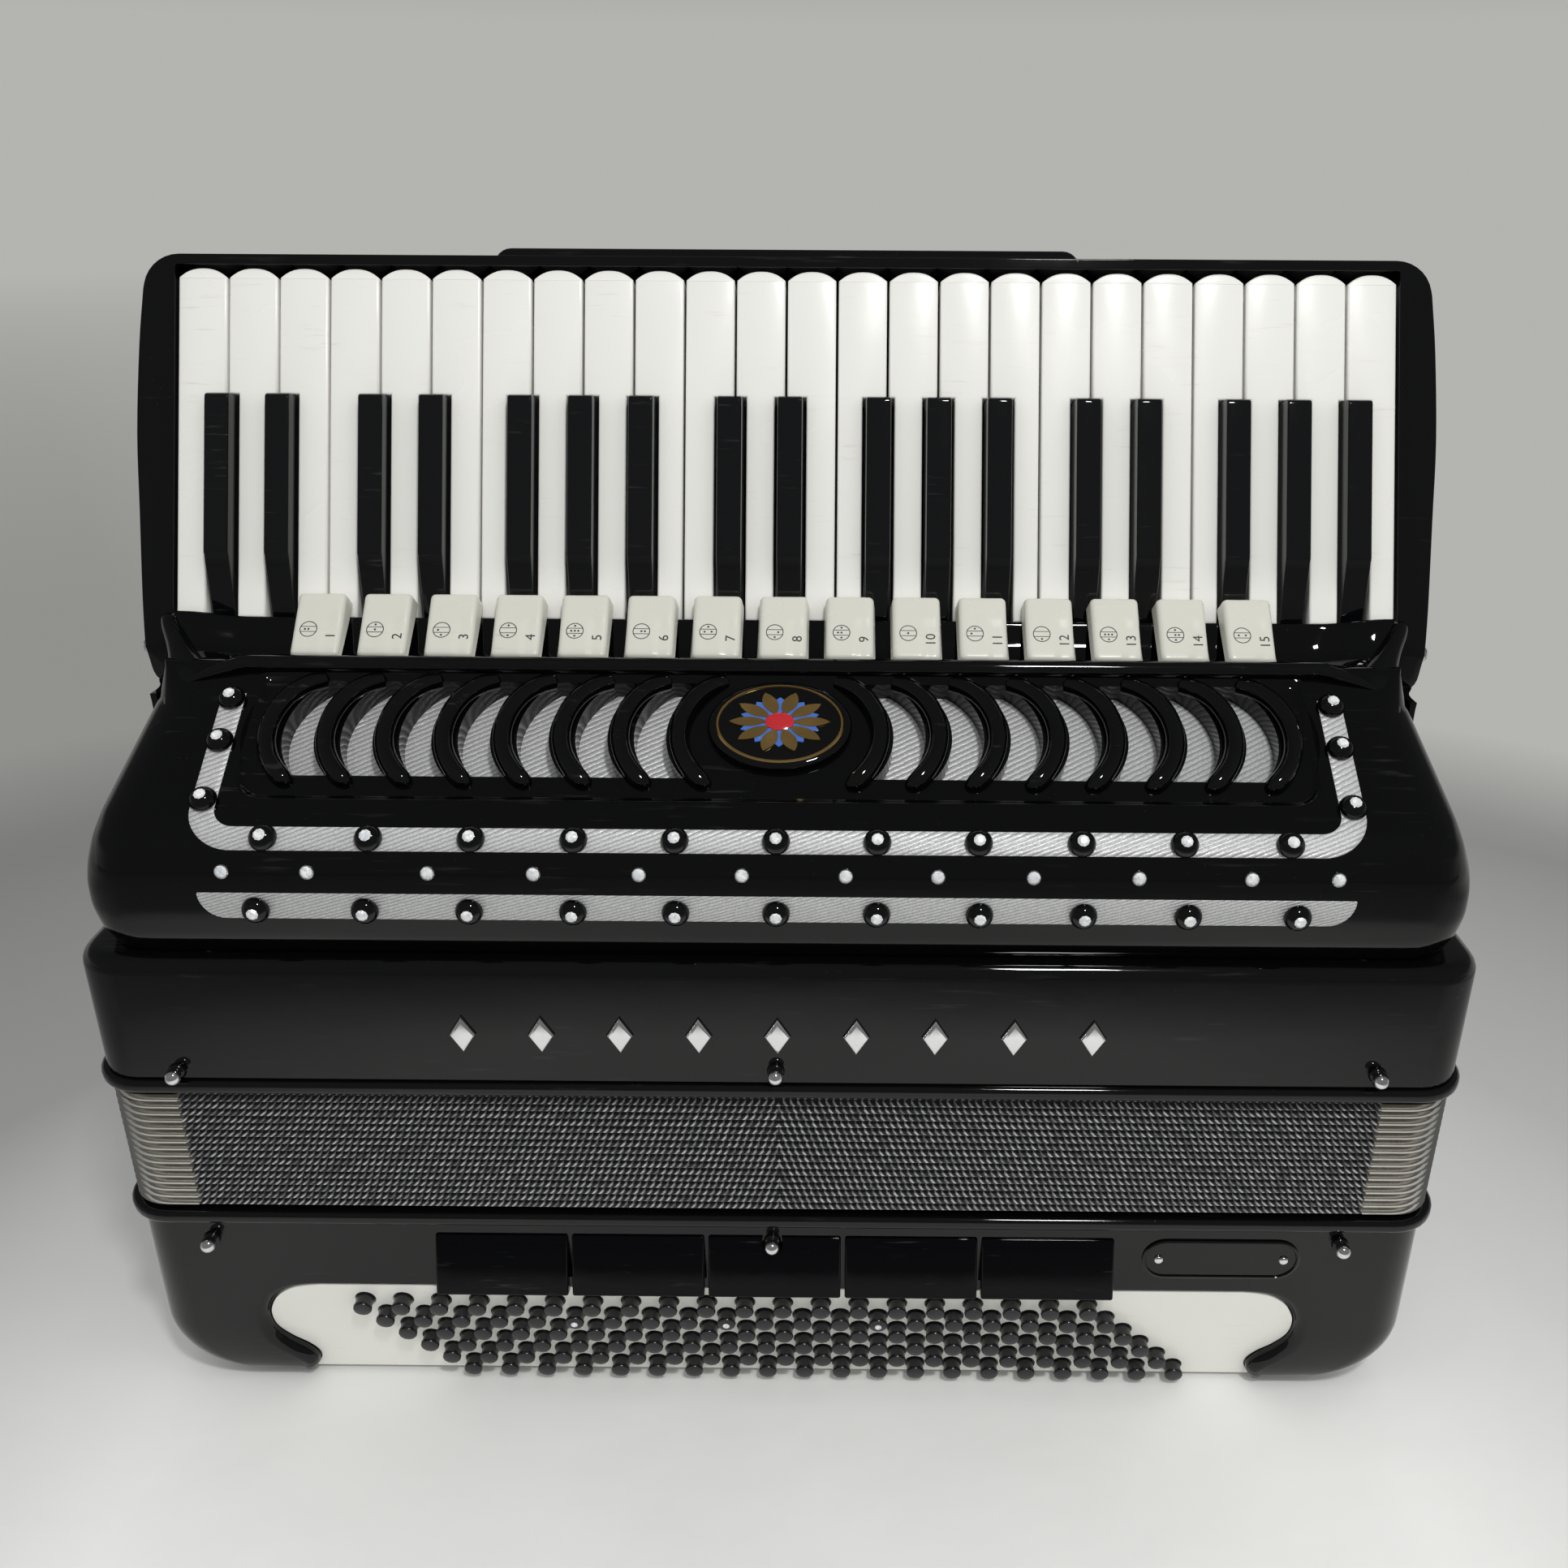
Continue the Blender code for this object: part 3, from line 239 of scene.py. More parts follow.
# %% Pieces
def make_mesh(name, shells, finishes):
    """One mesh from several skins, each with its own finish; uv goes in where a skin has it."""
    starts = np.cumsum([0] + [len(points) for points, faces, uv in shells])
    faces = [[index + start for index in face] for shell, start in zip(shells, starts) for face in shell[1]]
    mesh = bpy.data.meshes.new(name)
    mesh.from_pydata(np.concatenate([shell[0] for shell in shells]).tolist(), [], faces)
    slots = list(dict.fromkeys(finishes))
    for finish in slots:
        mesh.materials.append(finish)
    counts = [len(shell[1]) for shell in shells]
    mesh.polygons.foreach_set("material_index", np.repeat([slots.index(f) for f in finishes], counts))
    if any(shell[2] is not None for shell in shells):
        layer = mesh.uv_layers.new(name="UVMap")
        values = np.zeros((len(mesh.loops), 2), np.float32)
        loop = 0
        for points, shell_faces, uv in shells:
            if uv is not None:
                values[loop:loop + len(uv)] = uv
            loop += sum(len(face) for face in shell_faces)
        layer.data.foreach_set("uv", values.ravel())
    return mesh


def turn_outwards(mesh):
    """Turns every closed shell's faces outwards."""
    work = bmesh.new()
    work.from_mesh(mesh)
    bmesh.ops.recalc_face_normals(work, faces=work.faces)
    work.to_mesh(mesh)
    work.free()


def piece(name, shells, finish, body, stands_for=(), sharp=38.0, closed=True):
    """A finished object that rides on a body and stands for these CAD nodes."""
    finishes = finish if isinstance(finish, list) else [finish] * len(shells)
    mesh = make_mesh(name, shells, finishes)
    if closed:
        turn_outwards(mesh)
    mesh.shade_smooth()
    mesh.set_sharp_from_angle(angle=math.radians(sharp))
    made = bpy.data.objects.new(name, mesh)
    bpy.context.scene.collection.objects.link(made)
    if body is not None:
        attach(made, body)
    if stands_for:
        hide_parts(*stands_for)
    return made


def carve(target, shells, operation="DIFFERENCE"):
    """Cuts closed shells out of a piece, or keeps only what is in them, and keeps the result."""
    tool = piece("tool", shells, target.data.materials[0], None)
    modifier = target.modifiers.new("carve", "BOOLEAN")
    modifier.object = tool
    modifier.operation = operation
    modifier.solver = "EXACT"
    bpy.context.view_layer.update()
    graph = bpy.context.evaluated_depsgraph_get()
    result = bpy.data.meshes.new_from_object(target.evaluated_get(graph))
    target.modifiers.clear()
    target.data = result
    result.name = target.name
    result.set_sharp_from_angle(angle=math.radians(38.0))
    bpy.data.objects.remove(tool)


def soften(target, width, segments=3, angle=40.0):
    """A live Bevel that rounds the edges sharper than an angle."""
    bevel = target.modifiers.new("soften", "BEVEL")
    bevel.width = width
    bevel.segments = segments
    bevel.limit_method = "ANGLE"
    bevel.angle_limit = math.radians(angle)
    bevel.harden_normals = True


print("pieces ready")

# %% [markdown]
# ## Shared effects for the finishes
# A polished accordion is never clean: fingers leave smudges, cases leave faint scuffs, and dust
# settles. Those effects are the same on lacquer, plastic and metal, so they are one node group with
# masks for outputs. A second group makes the ribs of woven cloth.

# %% Node helpers and groups
def add_node(tree, kind, inputs=None, **settings):
    """A shader node with its settings; an input is a value or another node's output."""
    made = tree.nodes.new(kind)
    for key, value in settings.items():
        setattr(made, key, value)
    for key, value in (inputs or {}).items():
        if isinstance(value, bpy.types.NodeSocket):
            tree.links.new(value, made.inputs[key])
        else:
            made.inputs[key].default_value = value
    return made


def maths(tree, operation, first, second):
    """The output of one Math node."""
    return add_node(tree, "ShaderNodeMath", {0: first, 1: second}, operation=operation).outputs[0]


def ramp(tree, value, low, high, start=0.0, end=1.0):
    """A value carried from the span low..high to start..end, and held at the ends."""
    inputs = {"Value": value, "From Min": low, "From Max": high, "To Min": start, "To Max": end}
    return add_node(tree, "ShaderNodeMapRange", inputs).outputs["Result"]


def noise(tree, place, scale, detail=2.0):
    """The value of a noise texture."""
    inputs = {"Vector": place, "Scale": scale, "Detail": detail}
    return add_node(tree, "ShaderNodeTexNoise", inputs).outputs["Fac"]


def stretched(tree, place, scale, turned=(0.0, 0.0, 0.0)):
    """A place scaled and turned by a Mapping node."""
    inputs = {"Vector": place, "Scale": scale, "Rotation": turned}
    return add_node(tree, "ShaderNodeMapping", inputs).outputs["Vector"]


def new_group(name, inputs, outputs):
    """An empty node group with named float or vector sockets, its input node and its output node."""
    group = bpy.data.node_groups.new(name, "ShaderNodeTree")
    for socket, kind in inputs:
        group.interface.new_socket(socket, in_out="INPUT", socket_type=kind)
    for socket in outputs:
        group.interface.new_socket(socket, in_out="OUTPUT", socket_type="NodeSocketFloat")
    return group, group.nodes.new("NodeGroupInput").outputs, group.nodes.new("NodeGroupOutput").inputs


handling, taken, given = new_group(
    "handling_marks",
    [("Place", "NodeSocketVector"), ("Size", "NodeSocketFloat")],
    ("Smudge", "Scuff", "Dust", "Ripple"),
)
near = add_node(handling, "ShaderNodeVectorMath", {0: taken["Place"], "Scale": taken["Size"]}, operation="SCALE")
near = near.outputs[0]
handling.links.new(ramp(handling, noise(handling, near, 14.0, 4.0), 0.48, 0.72), given["Smudge"])
scratch = noise(handling, stretched(handling, near, (30.0, 260.0, 420.0), (0.2, 0.3, 0.5)), 1.0, 3.0)
patches = ramp(handling, noise(handling, near, 22.0), 0.5, 0.7)
handling.links.new(maths(handling, "MULTIPLY", ramp(handling, scratch, 0.62, 0.72), patches), given["Scuff"])
specks = add_node(handling, "ShaderNodeTexVoronoi", {"Vector": near, "Scale": 420.0}).outputs["Distance"]
handling.links.new(
    maths(handling, "MULTIPLY", ramp(handling, specks, 0.09, 0.05), ramp(handling, noise(handling, near, 60.0), 0.55, 0.62)),
    given["Dust"],
)
handling.links.new(noise(handling, near, 55.0, 2.0), given["Ripple"])

ribs, taken, given = new_group(
    "woven_ribs",
    [("Place", "NodeSocketVector"), ("Pitch", "NodeSocketFloat"), ("Unevenness", "NodeSocketFloat")],
    ("Rib", "Thread"),
)
rib_scale = maths(ribs, "DIVIDE", math.pi / 10.0, taken["Pitch"])
wave = add_node(
    ribs,
    "ShaderNodeTexWave",
    {"Vector": taken["Place"], "Scale": rib_scale, "Distortion": taken["Unevenness"], "Detail": 2.0, "Detail Scale": 1.5},
    wave_type="BANDS",
    bands_direction="X",
)
# Rib is the height of the ribs, which the silver cloth also uses for painted shade in its grooves; Thread is fine
# noise, used there for painted glints as well as roughness and bump.
ribs.links.new(wave.outputs["Fac"], given["Rib"])
ribs.links.new(noise(ribs, taken["Place"], 1900.0, 3.0), given["Thread"])
print("node groups:", [group.name for group in bpy.data.node_groups])

# %% [markdown]
# ## Finishes
# The case is black celluloid under clear lacquer, so nearly all of its look is what it reflects: a
# very dark colour, low roughness, and slow ripples that bend the reflections. The ivories and the
# tabs are cast plastic, softer in gloss. Bands and grille have silver cloth under a clear skin.

# %% Lacquers and plastics
def new_material(name):
    """A material with its tree, its Principled shader and its Object coordinates."""
    material = bpy.data.materials.new(name)
    material.use_nodes = True
    tree = material.node_tree
    place = add_node(tree, "ShaderNodeTexCoord").outputs["Object"]
    return material, tree, tree.nodes["Principled BSDF"], place


def handled(tree, place, size):
    """The handling group placed in a material."""
    return add_node(tree, "ShaderNodeGroup", {"Place": place, "Size": size}, node_tree=handling).outputs


def mixed(tree, mask, first, second):
    """A colour that goes from first to second with a mask."""
    made = add_node(tree, "ShaderNodeMix", data_type="RGBA")
    for index, value in ((0, mask), (6, first), (7, second)):
        if isinstance(value, bpy.types.NodeSocket):
            tree.links.new(value, made.inputs[index])
        else:
            made.inputs[index].default_value = value if index == 0 else (*value, 1.0)
    return made.outputs[2]


def bumped(tree, shader, height, depth):
    """A height that tilts the shader's normal, depth in metres."""
    bump = add_node(tree, "ShaderNodeBump", {"Height": height, "Distance": depth, "Strength": 1.0})
    tree.links.new(bump.outputs["Normal"], shader.inputs["Normal"])


def glossy(name, colour, worn, rough, smudged, ripple, size=1.0, metallic=0.0, ior=1.5):
    """A polished surface: worn colour in its scuffs and dust, roughness from rough to smudged, and
    a slow ripple in its normal."""
    material, tree, shader, place = new_material(name)
    marks = handled(tree, place, size)
    wear = maths(tree, "MAXIMUM", marks["Scuff"], marks["Dust"])
    tree.links.new(mixed(tree, wear, colour, worn), shader.inputs["Base Color"])
    shine = ramp(tree, marks["Smudge"], 0.0, 1.0, rough, smudged)
    tree.links.new(maths(tree, "ADD", shine, maths(tree, "MULTIPLY", wear, 0.12)), shader.inputs["Roughness"])
    bumped(tree, shader, marks["Ripple"], ripple)
    shader.inputs["Metallic"].default_value = metallic
    shader.inputs["IOR"].default_value = ior
    return material


lacquer = glossy("black_lacquer", (0.0014, 0.0015, 0.0018), (0.02, 0.02, 0.021), 0.035, 0.075, 0.00005, ior=1.44)
cover_lacquer = glossy("cover_lacquer", (0.0012, 0.0013, 0.0016), (0.02, 0.02, 0.021), 0.035, 0.075, 0.00005, ior=1.38)
bar_black = glossy("bar_plastic", (0.0012, 0.0013, 0.0018), (0.02, 0.02, 0.022), 0.06, 0.12, 0.00003, 2.0, ior=1.24)
ebony = glossy("black_key_plastic", (0.0018, 0.002, 0.0026), (0.02, 0.02, 0.022), 0.05, 0.10, 0.00003, 2.0)
button_black = glossy("button_plastic", (0.009, 0.0095, 0.0105), (0.05, 0.05, 0.05), 0.22, 0.34, 0.00002, 4.0)
dull_black = glossy("dull_black", (0.006, 0.006, 0.007), (0.03, 0.03, 0.03), 0.38, 0.5, 0.00004, 2.0)
ivory = glossy("ivory_plastic", (0.83, 0.825, 0.785), (0.70, 0.68, 0.60), 0.20, 0.32, 0.00002, 1.5)
tab_ivory = glossy("tab_plastic", (0.60, 0.597, 0.53), (0.52, 0.50, 0.43), 0.24, 0.36, 0.00002, 2.5)
board_white = glossy("board_plastic", (0.80, 0.80, 0.745), (0.66, 0.65, 0.58), 0.16, 0.28, 0.00003, 2.0)
nickel = glossy("nickel", (0.80, 0.785, 0.755), (0.55, 0.53, 0.49), 0.12, 0.24, 0.00003, 3.0, 1.0)
chrome = glossy("chrome", (0.80, 0.80, 0.81), (0.5, 0.5, 0.5), 0.06, 0.16, 0.00001, 6.0, 1.0)
steel = glossy("steel", (0.52, 0.52, 0.54), (0.30, 0.28, 0.26), 0.24, 0.4, 0.00002, 4.0, 1.0)
gold = glossy("gilt", (0.72, 0.46, 0.16), (0.40, 0.25, 0.10), 0.16, 0.28, 0.00003, 6.0, 1.0)
blue_enamel = glossy("blue_enamel", (0.05, 0.13, 0.42), (0.15, 0.2, 0.4), 0.08, 0.16, 0.00002, 6.0)
red_enamel = glossy("red_enamel", (0.42, 0.02, 0.025), (0.4, 0.1, 0.1), 0.08, 0.16, 0.00002, 6.0)
print("finishes:", len(bpy.data.materials))

# %% [markdown]
# Silver cloth is a ribbed weave of metal thread; its ribs run up to the right at a slant. The bellows
# are covered with dark cloth whose pale thread shows as a dash on each fold, so that pattern follows
# the folds by a UV map: u is millimetres round the bellows, v counts the folds.

# %% Cloths, stones and wood
def make_silver_cloth():
    """Ribs of silver thread: shine and height follow the ribs, and so does the colour, darker in the grooves as painted
    shade, with a painted glint of single threads.
    """
    material, tree, shader, place = new_material("silver_cloth")
    slanted = stretched(tree, place, (1.0, 1.0, 1.0), (0.0, math.radians(107.0), 0.0))
    woven = add_node(
        tree, "ShaderNodeGroup", {"Place": slanted, "Pitch": 0.0012, "Unevenness": 1.2}, node_tree=ribs
    ).outputs
    # Painted shade and glint: the colour darkens in the grooves between the ribs and brightens on single threads.
    rib_shade_and_glint = maths(tree, "MULTIPLY", ramp(tree, woven["Rib"], 0.0, 0.45, 0.45, 1.0), ramp(tree, woven["Thread"], 0.35, 0.65, 0.6, 1.0))
    tree.links.new(mixed(tree, rib_shade_and_glint, (0.16, 0.16, 0.165), (0.74, 0.75, 0.74)), shader.inputs["Base Color"])
    tree.links.new(ramp(tree, woven["Thread"], 0.3, 0.7, 0.52, 0.34), shader.inputs["Roughness"])
    bumped(tree, shader, maths(tree, "ADD", woven["Rib"], maths(tree, "MULTIPLY", woven["Thread"], 0.5)), 0.00014)
    shader.inputs["Metallic"].default_value = 0.35
    return material


def make_bellows_cloth():
    """Dark woven cloth: a pale slanting dash at each 2.7 mm of every fold, and a lighter line along the
    fold's crest as a painted highlight, laid out by the UV map."""
    material, tree, shader, place = new_material("bellows_cloth")
    uv = add_node(tree, "ShaderNodeUVMap", uv_map="UVMap").outputs["UV"]
    parts = add_node(tree, "ShaderNodeSeparateXYZ", {"Vector": uv}).outputs
    fold = maths(tree, "FLOOR", parts["Y"], 0.0)
    across_fold = maths(tree, "FRACT", parts["Y"], 0.0)
    shifted = maths(tree, "ADD", maths(tree, "DIVIDE", parts["X"], 2.7), maths(tree, "MULTIPLY", fold, 0.37))
    dash = maths(tree, "SUBTRACT", maths(tree, "FRACT", shifted, 0.0), 0.5)
    slant = maths(tree, "ADD", maths(tree, "SUBTRACT", across_fold, 0.60), maths(tree, "MULTIPLY", dash, 0.34))
    line = ramp(tree, maths(tree, "ABSOLUTE", slant, 0.0), 0.09, 0.04)
    ends = ramp(tree, maths(tree, "ABSOLUTE", dash, 0.0), 0.42, 0.30)
    bright = ramp(tree, noise(tree, place, 260.0, 2.0), 0.35, 0.62, 0.25, 1.0)
    fleck = maths(tree, "MULTIPLY", maths(tree, "MULTIPLY", line, ends), bright)
    # Painted highlight: the cloth is lighter in a narrow line along each fold's crest.
    from_crest = maths(tree, "ABSOLUTE", maths(tree, "SUBTRACT", across_fold, 0.47), 0.0)
    cloth = mixed(tree, ramp(tree, from_crest, 0.08, 0.03), (0.016, 0.0165, 0.018), (0.062, 0.063, 0.065))
    weave = noise(tree, place, 1500.0, 2.0)
    tree.links.new(mixed(tree, fleck, cloth, (0.52, 0.52, 0.52)), shader.inputs["Base Color"])
    tree.links.new(ramp(tree, weave, 0.3, 0.7, 0.42, 0.62), shader.inputs["Roughness"])
    bumped(tree, shader, maths(tree, "ADD", weave, fleck), 0.0001)
    shader.inputs["Sheen Weight"].default_value = 0.15
    return material


def make_stone():
    """A clear cut stone on silver foil: its near-white colour is painted sparkle, in cells of painted facet glints with
    a little colour in them.
    """
    material, tree, shader, place = new_material("clear_stone")
    # Painted highlight: cells of the colour are brighter or duller, standing in for the light that the facets and foil
    # reflect.
    cells = add_node(tree, "ShaderNodeTexVoronoi", {"Vector": place, "Scale": 900.0}).outputs["Color"]
    tint = add_node(tree, "ShaderNodeSeparateColor", {"Color": cells}).outputs
    painted_facet_glint = mixed(tree, tint["Red"], (0.62, 0.66, 0.70), (0.98, 0.97, 0.94))
    tree.links.new(painted_facet_glint, shader.inputs["Base Color"])
    tree.links.new(ramp(tree, tint["Green"], 0.0, 1.0, 0.04, 0.14), shader.inputs["Roughness"])
    shader.inputs["Metallic"].default_value = 0.15
    return material


def make_wood():
    """Pale straight-grained wood: rings stretched along x, with finer fibres between them."""
    material, tree, shader, place = new_material("reed_wood")
    grain = noise(tree, stretched(tree, place, (6.0, 160.0, 160.0)), 1.0, 4.0)
    fibre = noise(tree, stretched(tree, place, (40.0, 1400.0, 1400.0)), 1.0, 2.0)
    tree.links.new(mixed(tree, ramp(tree, grain, 0.35, 0.65), (0.42, 0.25, 0.12), (0.64, 0.45, 0.26)), shader.inputs["Base Color"])
    tree.links.new(ramp(tree, fibre, 0.3, 0.7, 0.45, 0.65), shader.inputs["Roughness"])
    bumped(tree, shader, fibre, 0.0001)
    return material


def make_ink():
    """Black print with slightly worn, uneven density."""
    material, tree, shader, place = new_material("tab_print")
    worn = ramp(tree, noise(tree, place, 1200.0), 0.35, 0.75)
    tree.links.new(mixed(tree, worn, (0.02, 0.02, 0.02), (0.06, 0.06, 0.058)), shader.inputs["Base Color"])
    tree.links.new(ramp(tree, worn, 0.0, 1.0, 0.35, 0.5), shader.inputs["Roughness"])
    return material


silver_cloth = make_silver_cloth()
bellows_cloth = make_bellows_cloth()
stone = make_stone()
wood = make_wood()
ink = make_ink()
for node, finish in (
    ("bass_plate", dull_black),
    ("treble_reed_block", wood),
    ("bass_reed_block", wood),
    ("key_axle", steel),
):
    cad_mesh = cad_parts[node].data
    cad_mesh.materials.clear()
    cad_mesh.materials.append(finish)
print("finishes:", len(bpy.data.materials))

# %% [markdown]
# ## White keys
# A white key is a cast slab with a rounded tip, notched at its rear beside the black keys. The outline
# is drawn on the key plane and carried down, with a small round on its upper edge. Under the cover the
# key goes on as a metal lever to the pallet that opens its reeds, as in the CAD.

# %% Key layout
WHITE_COUNT = 24
KEY_PITCH = 20.0 * MM
KEY_GAP = 1.0 * MM
KEY_LENGTH = 131.4 * MM
KEY_FRONT = 49.5 * MM
KEY_BODY = 14.0 * MM
KEY_TAIL = 6.0 * MM
TIP_ROUND = 3.7 * MM
BLACK_GROUPS = ((1, 2), (4, 5), (7, 8, 9), (11, 12), (14, 15, 16), (18, 19), (21, 22, 23))
BLACK_SPREAD = 3.6 * MM
BLACK_WIDTH = 11.0 * MM
BLACK_GAP = 0.8 * MM
KEYBOARD_HALF = WHITE_COUNT * KEY_PITCH / 2
blacks = {
    number: -KEYBOARD_HALF + number * KEY_PITCH + BLACK_SPREAD * (number - (group[0] + group[-1]) / 2)
    for group in BLACK_GROUPS
    for number in group
}


def white_outline(index):
    """The outline of a white key as (x, along): notches beside the black keys, and a tip that drops
    by the tip round times the 2.4th power of the share of the half width."""
    left = -KEYBOARD_HALF + index * KEY_PITCH + KEY_GAP / 2
    right = left + KEY_PITCH - KEY_GAP
    notch = BLACK_WIDTH / 2 + BLACK_GAP
    rear_left = blacks[index] + notch if index in blacks else left
    rear_right = blacks[index + 1] - notch if index + 1 in blacks else right
    shoulder = KEY_LENGTH - KEY_FRONT
    share = np.cos(np.linspace(0, np.pi, 15))
    tip = np.stack(
        [(left + right) / 2 + share * (right - left) / 2, KEY_LENGTH - TIP_ROUND * np.abs(share) ** 2.4], -1
    )
    rear = [(rear_left, -KEY_TAIL), (rear_right, -KEY_TAIL)]
    if index + 1 in blacks:
        rear += [(rear_right, shoulder), (right, shoulder)]
    end = [(left, shoulder), (rear_left, shoulder)] if index in blacks else np.empty((0, 2))
    return np.concatenate([rear, tip, end]), (rear_left + rear_right) / 2


def lever(x, pallet_depth):
    """A key's lever in section, carried across 3 mm, and the soft block of its pallet."""
    room = 2.3 * MM
    axle_along = -15.0 * MM
    axle_out = -9.0 * MM
    below = -13.0 * MM
    above = -3.0 * MM
    top = case_high[2] + 4.5 * MM
    on_key = np.array([
        (KEY_TAIL, above), (axle_along - 8.0 * MM, above),
        (axle_along - room - 3.0 * MM, below), (axle_along - room, below), (axle_along - room, axle_out),
        (axle_along - room * 0.6, axle_out + room), (axle_along + room * 0.6, axle_out + room),
        (axle_along + room, axle_out), (axle_along + room, below), (KEY_TAIL, below),
    ])
    rear = over_keys(0.0, on_key[:, 0], on_key[:, 1])[:, 1:]
    foot = np.array([(-2.5, 1.0), (-2.5, -2.1), (3.5, -2.1), (3.5, 1.0)]) * MM
    foot += (FRONT + pallet_depth, top)
    section = np.concatenate([rear[:2], foot, rear[2:]])
    sides = x * 0.99 + np.array([-1.5, 1.5]) * MM
    arm = np.stack(np.broadcast_arrays(sides[:, None], section[:, 0], section[:, 1]), -1)
    half = np.array([3.5, 11.0]) * MM
    outline = round_rectangle(x * 0.99 - half[0], x * 0.99 + half[0], pallet_depth - half[1], pallet_depth + half[1], 1.0 * MM, 2)

    def flat(px, depth, height):
        return np.stack(np.broadcast_arrays(px, FRONT + depth, height), -1)

    pallet = soft_prism(outline, top - 4.2 * MM, top, 0.6 * MM, flat, 2)
    return skin(arm, caps=True), pallet


# %% White keys
for index in range(WHITE_COUNT):
    outline, middle = white_outline(index)
    name = f"white_key_{index + 1:02d}"
    slab = soft_prism(outline, -KEY_BODY, 0.0, 0.9 * MM, over_keys)
    arm, pallet = lever(middle, 40.0 * MM)
    piece(f"ivory_{index + 1:02d}", [slab, arm, pallet], [ivory, steel, dull_black], name, [name], 50.0)
print("white keys:", WHITE_COUNT)

# %% [markdown]
# ## Black keys
# A black key is a bar whose section narrows to its top, with round upper edges, a rounded nose towards
# the player's hand and a ramp at its rear. One closed section is carried along the key while its height
# follows the side view.

# %% Black keys
BLACK_HEIGHT = 6.5 * MM
BLACK_TOP_WIDTH = 9.6 * MM
BLACK_TIP = KEY_LENGTH - KEY_FRONT - BLACK_GAP
BLACK_NOSE = 2.0 * MM
BLACK_RAMP = (2.0 * MM, 19.0 * MM)
BLACK_EDGE = 0.9 * MM


def black_height(along):
    """The top of a black key above the ivories: a ramp up from its rear, level, then a quarter
    ellipse down over the nose."""
    rise = np.interp(along, (-KEY_TAIL, BLACK_RAMP[0], BLACK_RAMP[1]), (-3.0 * MM, 0.0, BLACK_HEIGHT))
    into_nose = np.clip((along - (BLACK_TIP - BLACK_NOSE)) / BLACK_NOSE, 0, 1)
    return rise - 2.2 * MM * (1 - np.sqrt(1 - into_nose**2))


def black_bar(centre):
    """Section points go round: lower corners, slanting sides, and upper corners on quarter circles."""
    along = np.concatenate([
        np.linspace(-KEY_TAIL, BLACK_RAMP[0], 3)[:-1],
        np.linspace(BLACK_RAMP[0], BLACK_RAMP[1] - 1.2 * MM, 6),
        np.linspace(BLACK_RAMP[1] - 0.8 * MM, BLACK_RAMP[1] + 1.2 * MM, 4),
        BLACK_TIP - BLACK_NOSE * np.cos(np.linspace(0, np.pi / 2, 8)),
    ])
    top = black_height(along)
    top = np.convolve(np.pad(top, 1, mode="edge"), (0.2, 0.6, 0.2), mode="valid")
    angle = np.linspace(0, np.pi / 2, 5)
    half_top = BLACK_TOP_WIDTH / 2 - BLACK_EDGE
    side = np.concatenate([[BLACK_WIDTH / 2, BLACK_WIDTH / 2], half_top + BLACK_EDGE * np.cos(angle)])
    drop = BLACK_EDGE * (1 - np.sin(angle))
    level = np.concatenate([
        np.full((len(along), 1), -KEY_BODY),
        np.broadcast_to(np.minimum(top - 2.5 * MM, -1.0 * MM)[:, None], (len(along), 1)),
        top[:, None] - drop,
    ], 1)
    x = centre + np.concatenate([side, -side[::-1]])
    out = np.concatenate([level, level[:, ::-1]], 1)
    return skin(over_keys(x, along[:, None], out), caps=True)


for count, centre in enumerate(blacks.values()):
    name = f"black_key_{count + 1:02d}"
    arm, pallet = lever(centre, 72.0 * MM)
    piece(f"ebony_{count + 1:02d}", [black_bar(centre), arm, pallet], [ebony, steel, dull_black], name, [name], 50.0)
print("black keys:", len(blacks))

# %% [markdown]
# ## The two cases and the bellows frames
# Treble and bass case are thin-walled boxes with round corners. Each is a stack of rings: up the inside
# of the wall, over its rim, and down or up the outside, where a quarter circle rounds the last edge.
# The bass case has round ends that sweep under it, and a wide window for the button board.

# %% Treble case and frames
CASE_HALF = case_high[0]
CASE_CORNER = 18.0 * MM
CASE_WALL = 5.0 * MM
CASE_TOP_ROUND = 6.5 * MM


def plan_ring(half, front, radius, steps=8, between=7):
    """A round-cornered ring in plan, as deep as the case less front at both sides, with extra points
    on its two long sides."""
    outline = round_rectangle(-half, half, FRONT + front, BACK - front, radius, steps)
    corners = outline.reshape(4, steps + 1, 2)
    share = np.linspace(0, 1, between + 2)[1:-1, None]
    back_side = corners[0, -1] + share * (corners[1, 0] - corners[0, -1])
    front_side = corners[2, -1] + share * (corners[3, 0] - corners[2, -1])
    return np.concatenate([corners[0], back_side, corners[1], corners[2], front_side, corners[3]])


def stacked(half, corner, levels):
    """Rings of a case at levels of (inset, height), as one grid."""
    rings = np.stack([plan_ring(half - i, i, max(corner - i, 1.0 * MM)) for i, height in levels])
    heights = np.broadcast_to(np.array(levels)[:, 1, None, None], (*rings.shape[:2], 1))
    return np.concatenate([rings, heights], -1)


angle = np.linspace(0, np.pi / 2, 7)
edge = np.stack([
    CASE_TOP_ROUND * (1 - np.cos(angle)),
    case_high[2] - CASE_TOP_ROUND * (1 - np.sin(angle)),
], -1)
treble_levels = [(CASE_WALL, case_high[2] - CASE_WALL), (CASE_WALL, case_low[2]), (0.0, case_low[2]), *edge]
treble_case = piece("treble_shell", [skin(stacked(CASE_HALF, CASE_CORNER, treble_levels), caps=True)], lacquer, "treble", ["treble_case"])

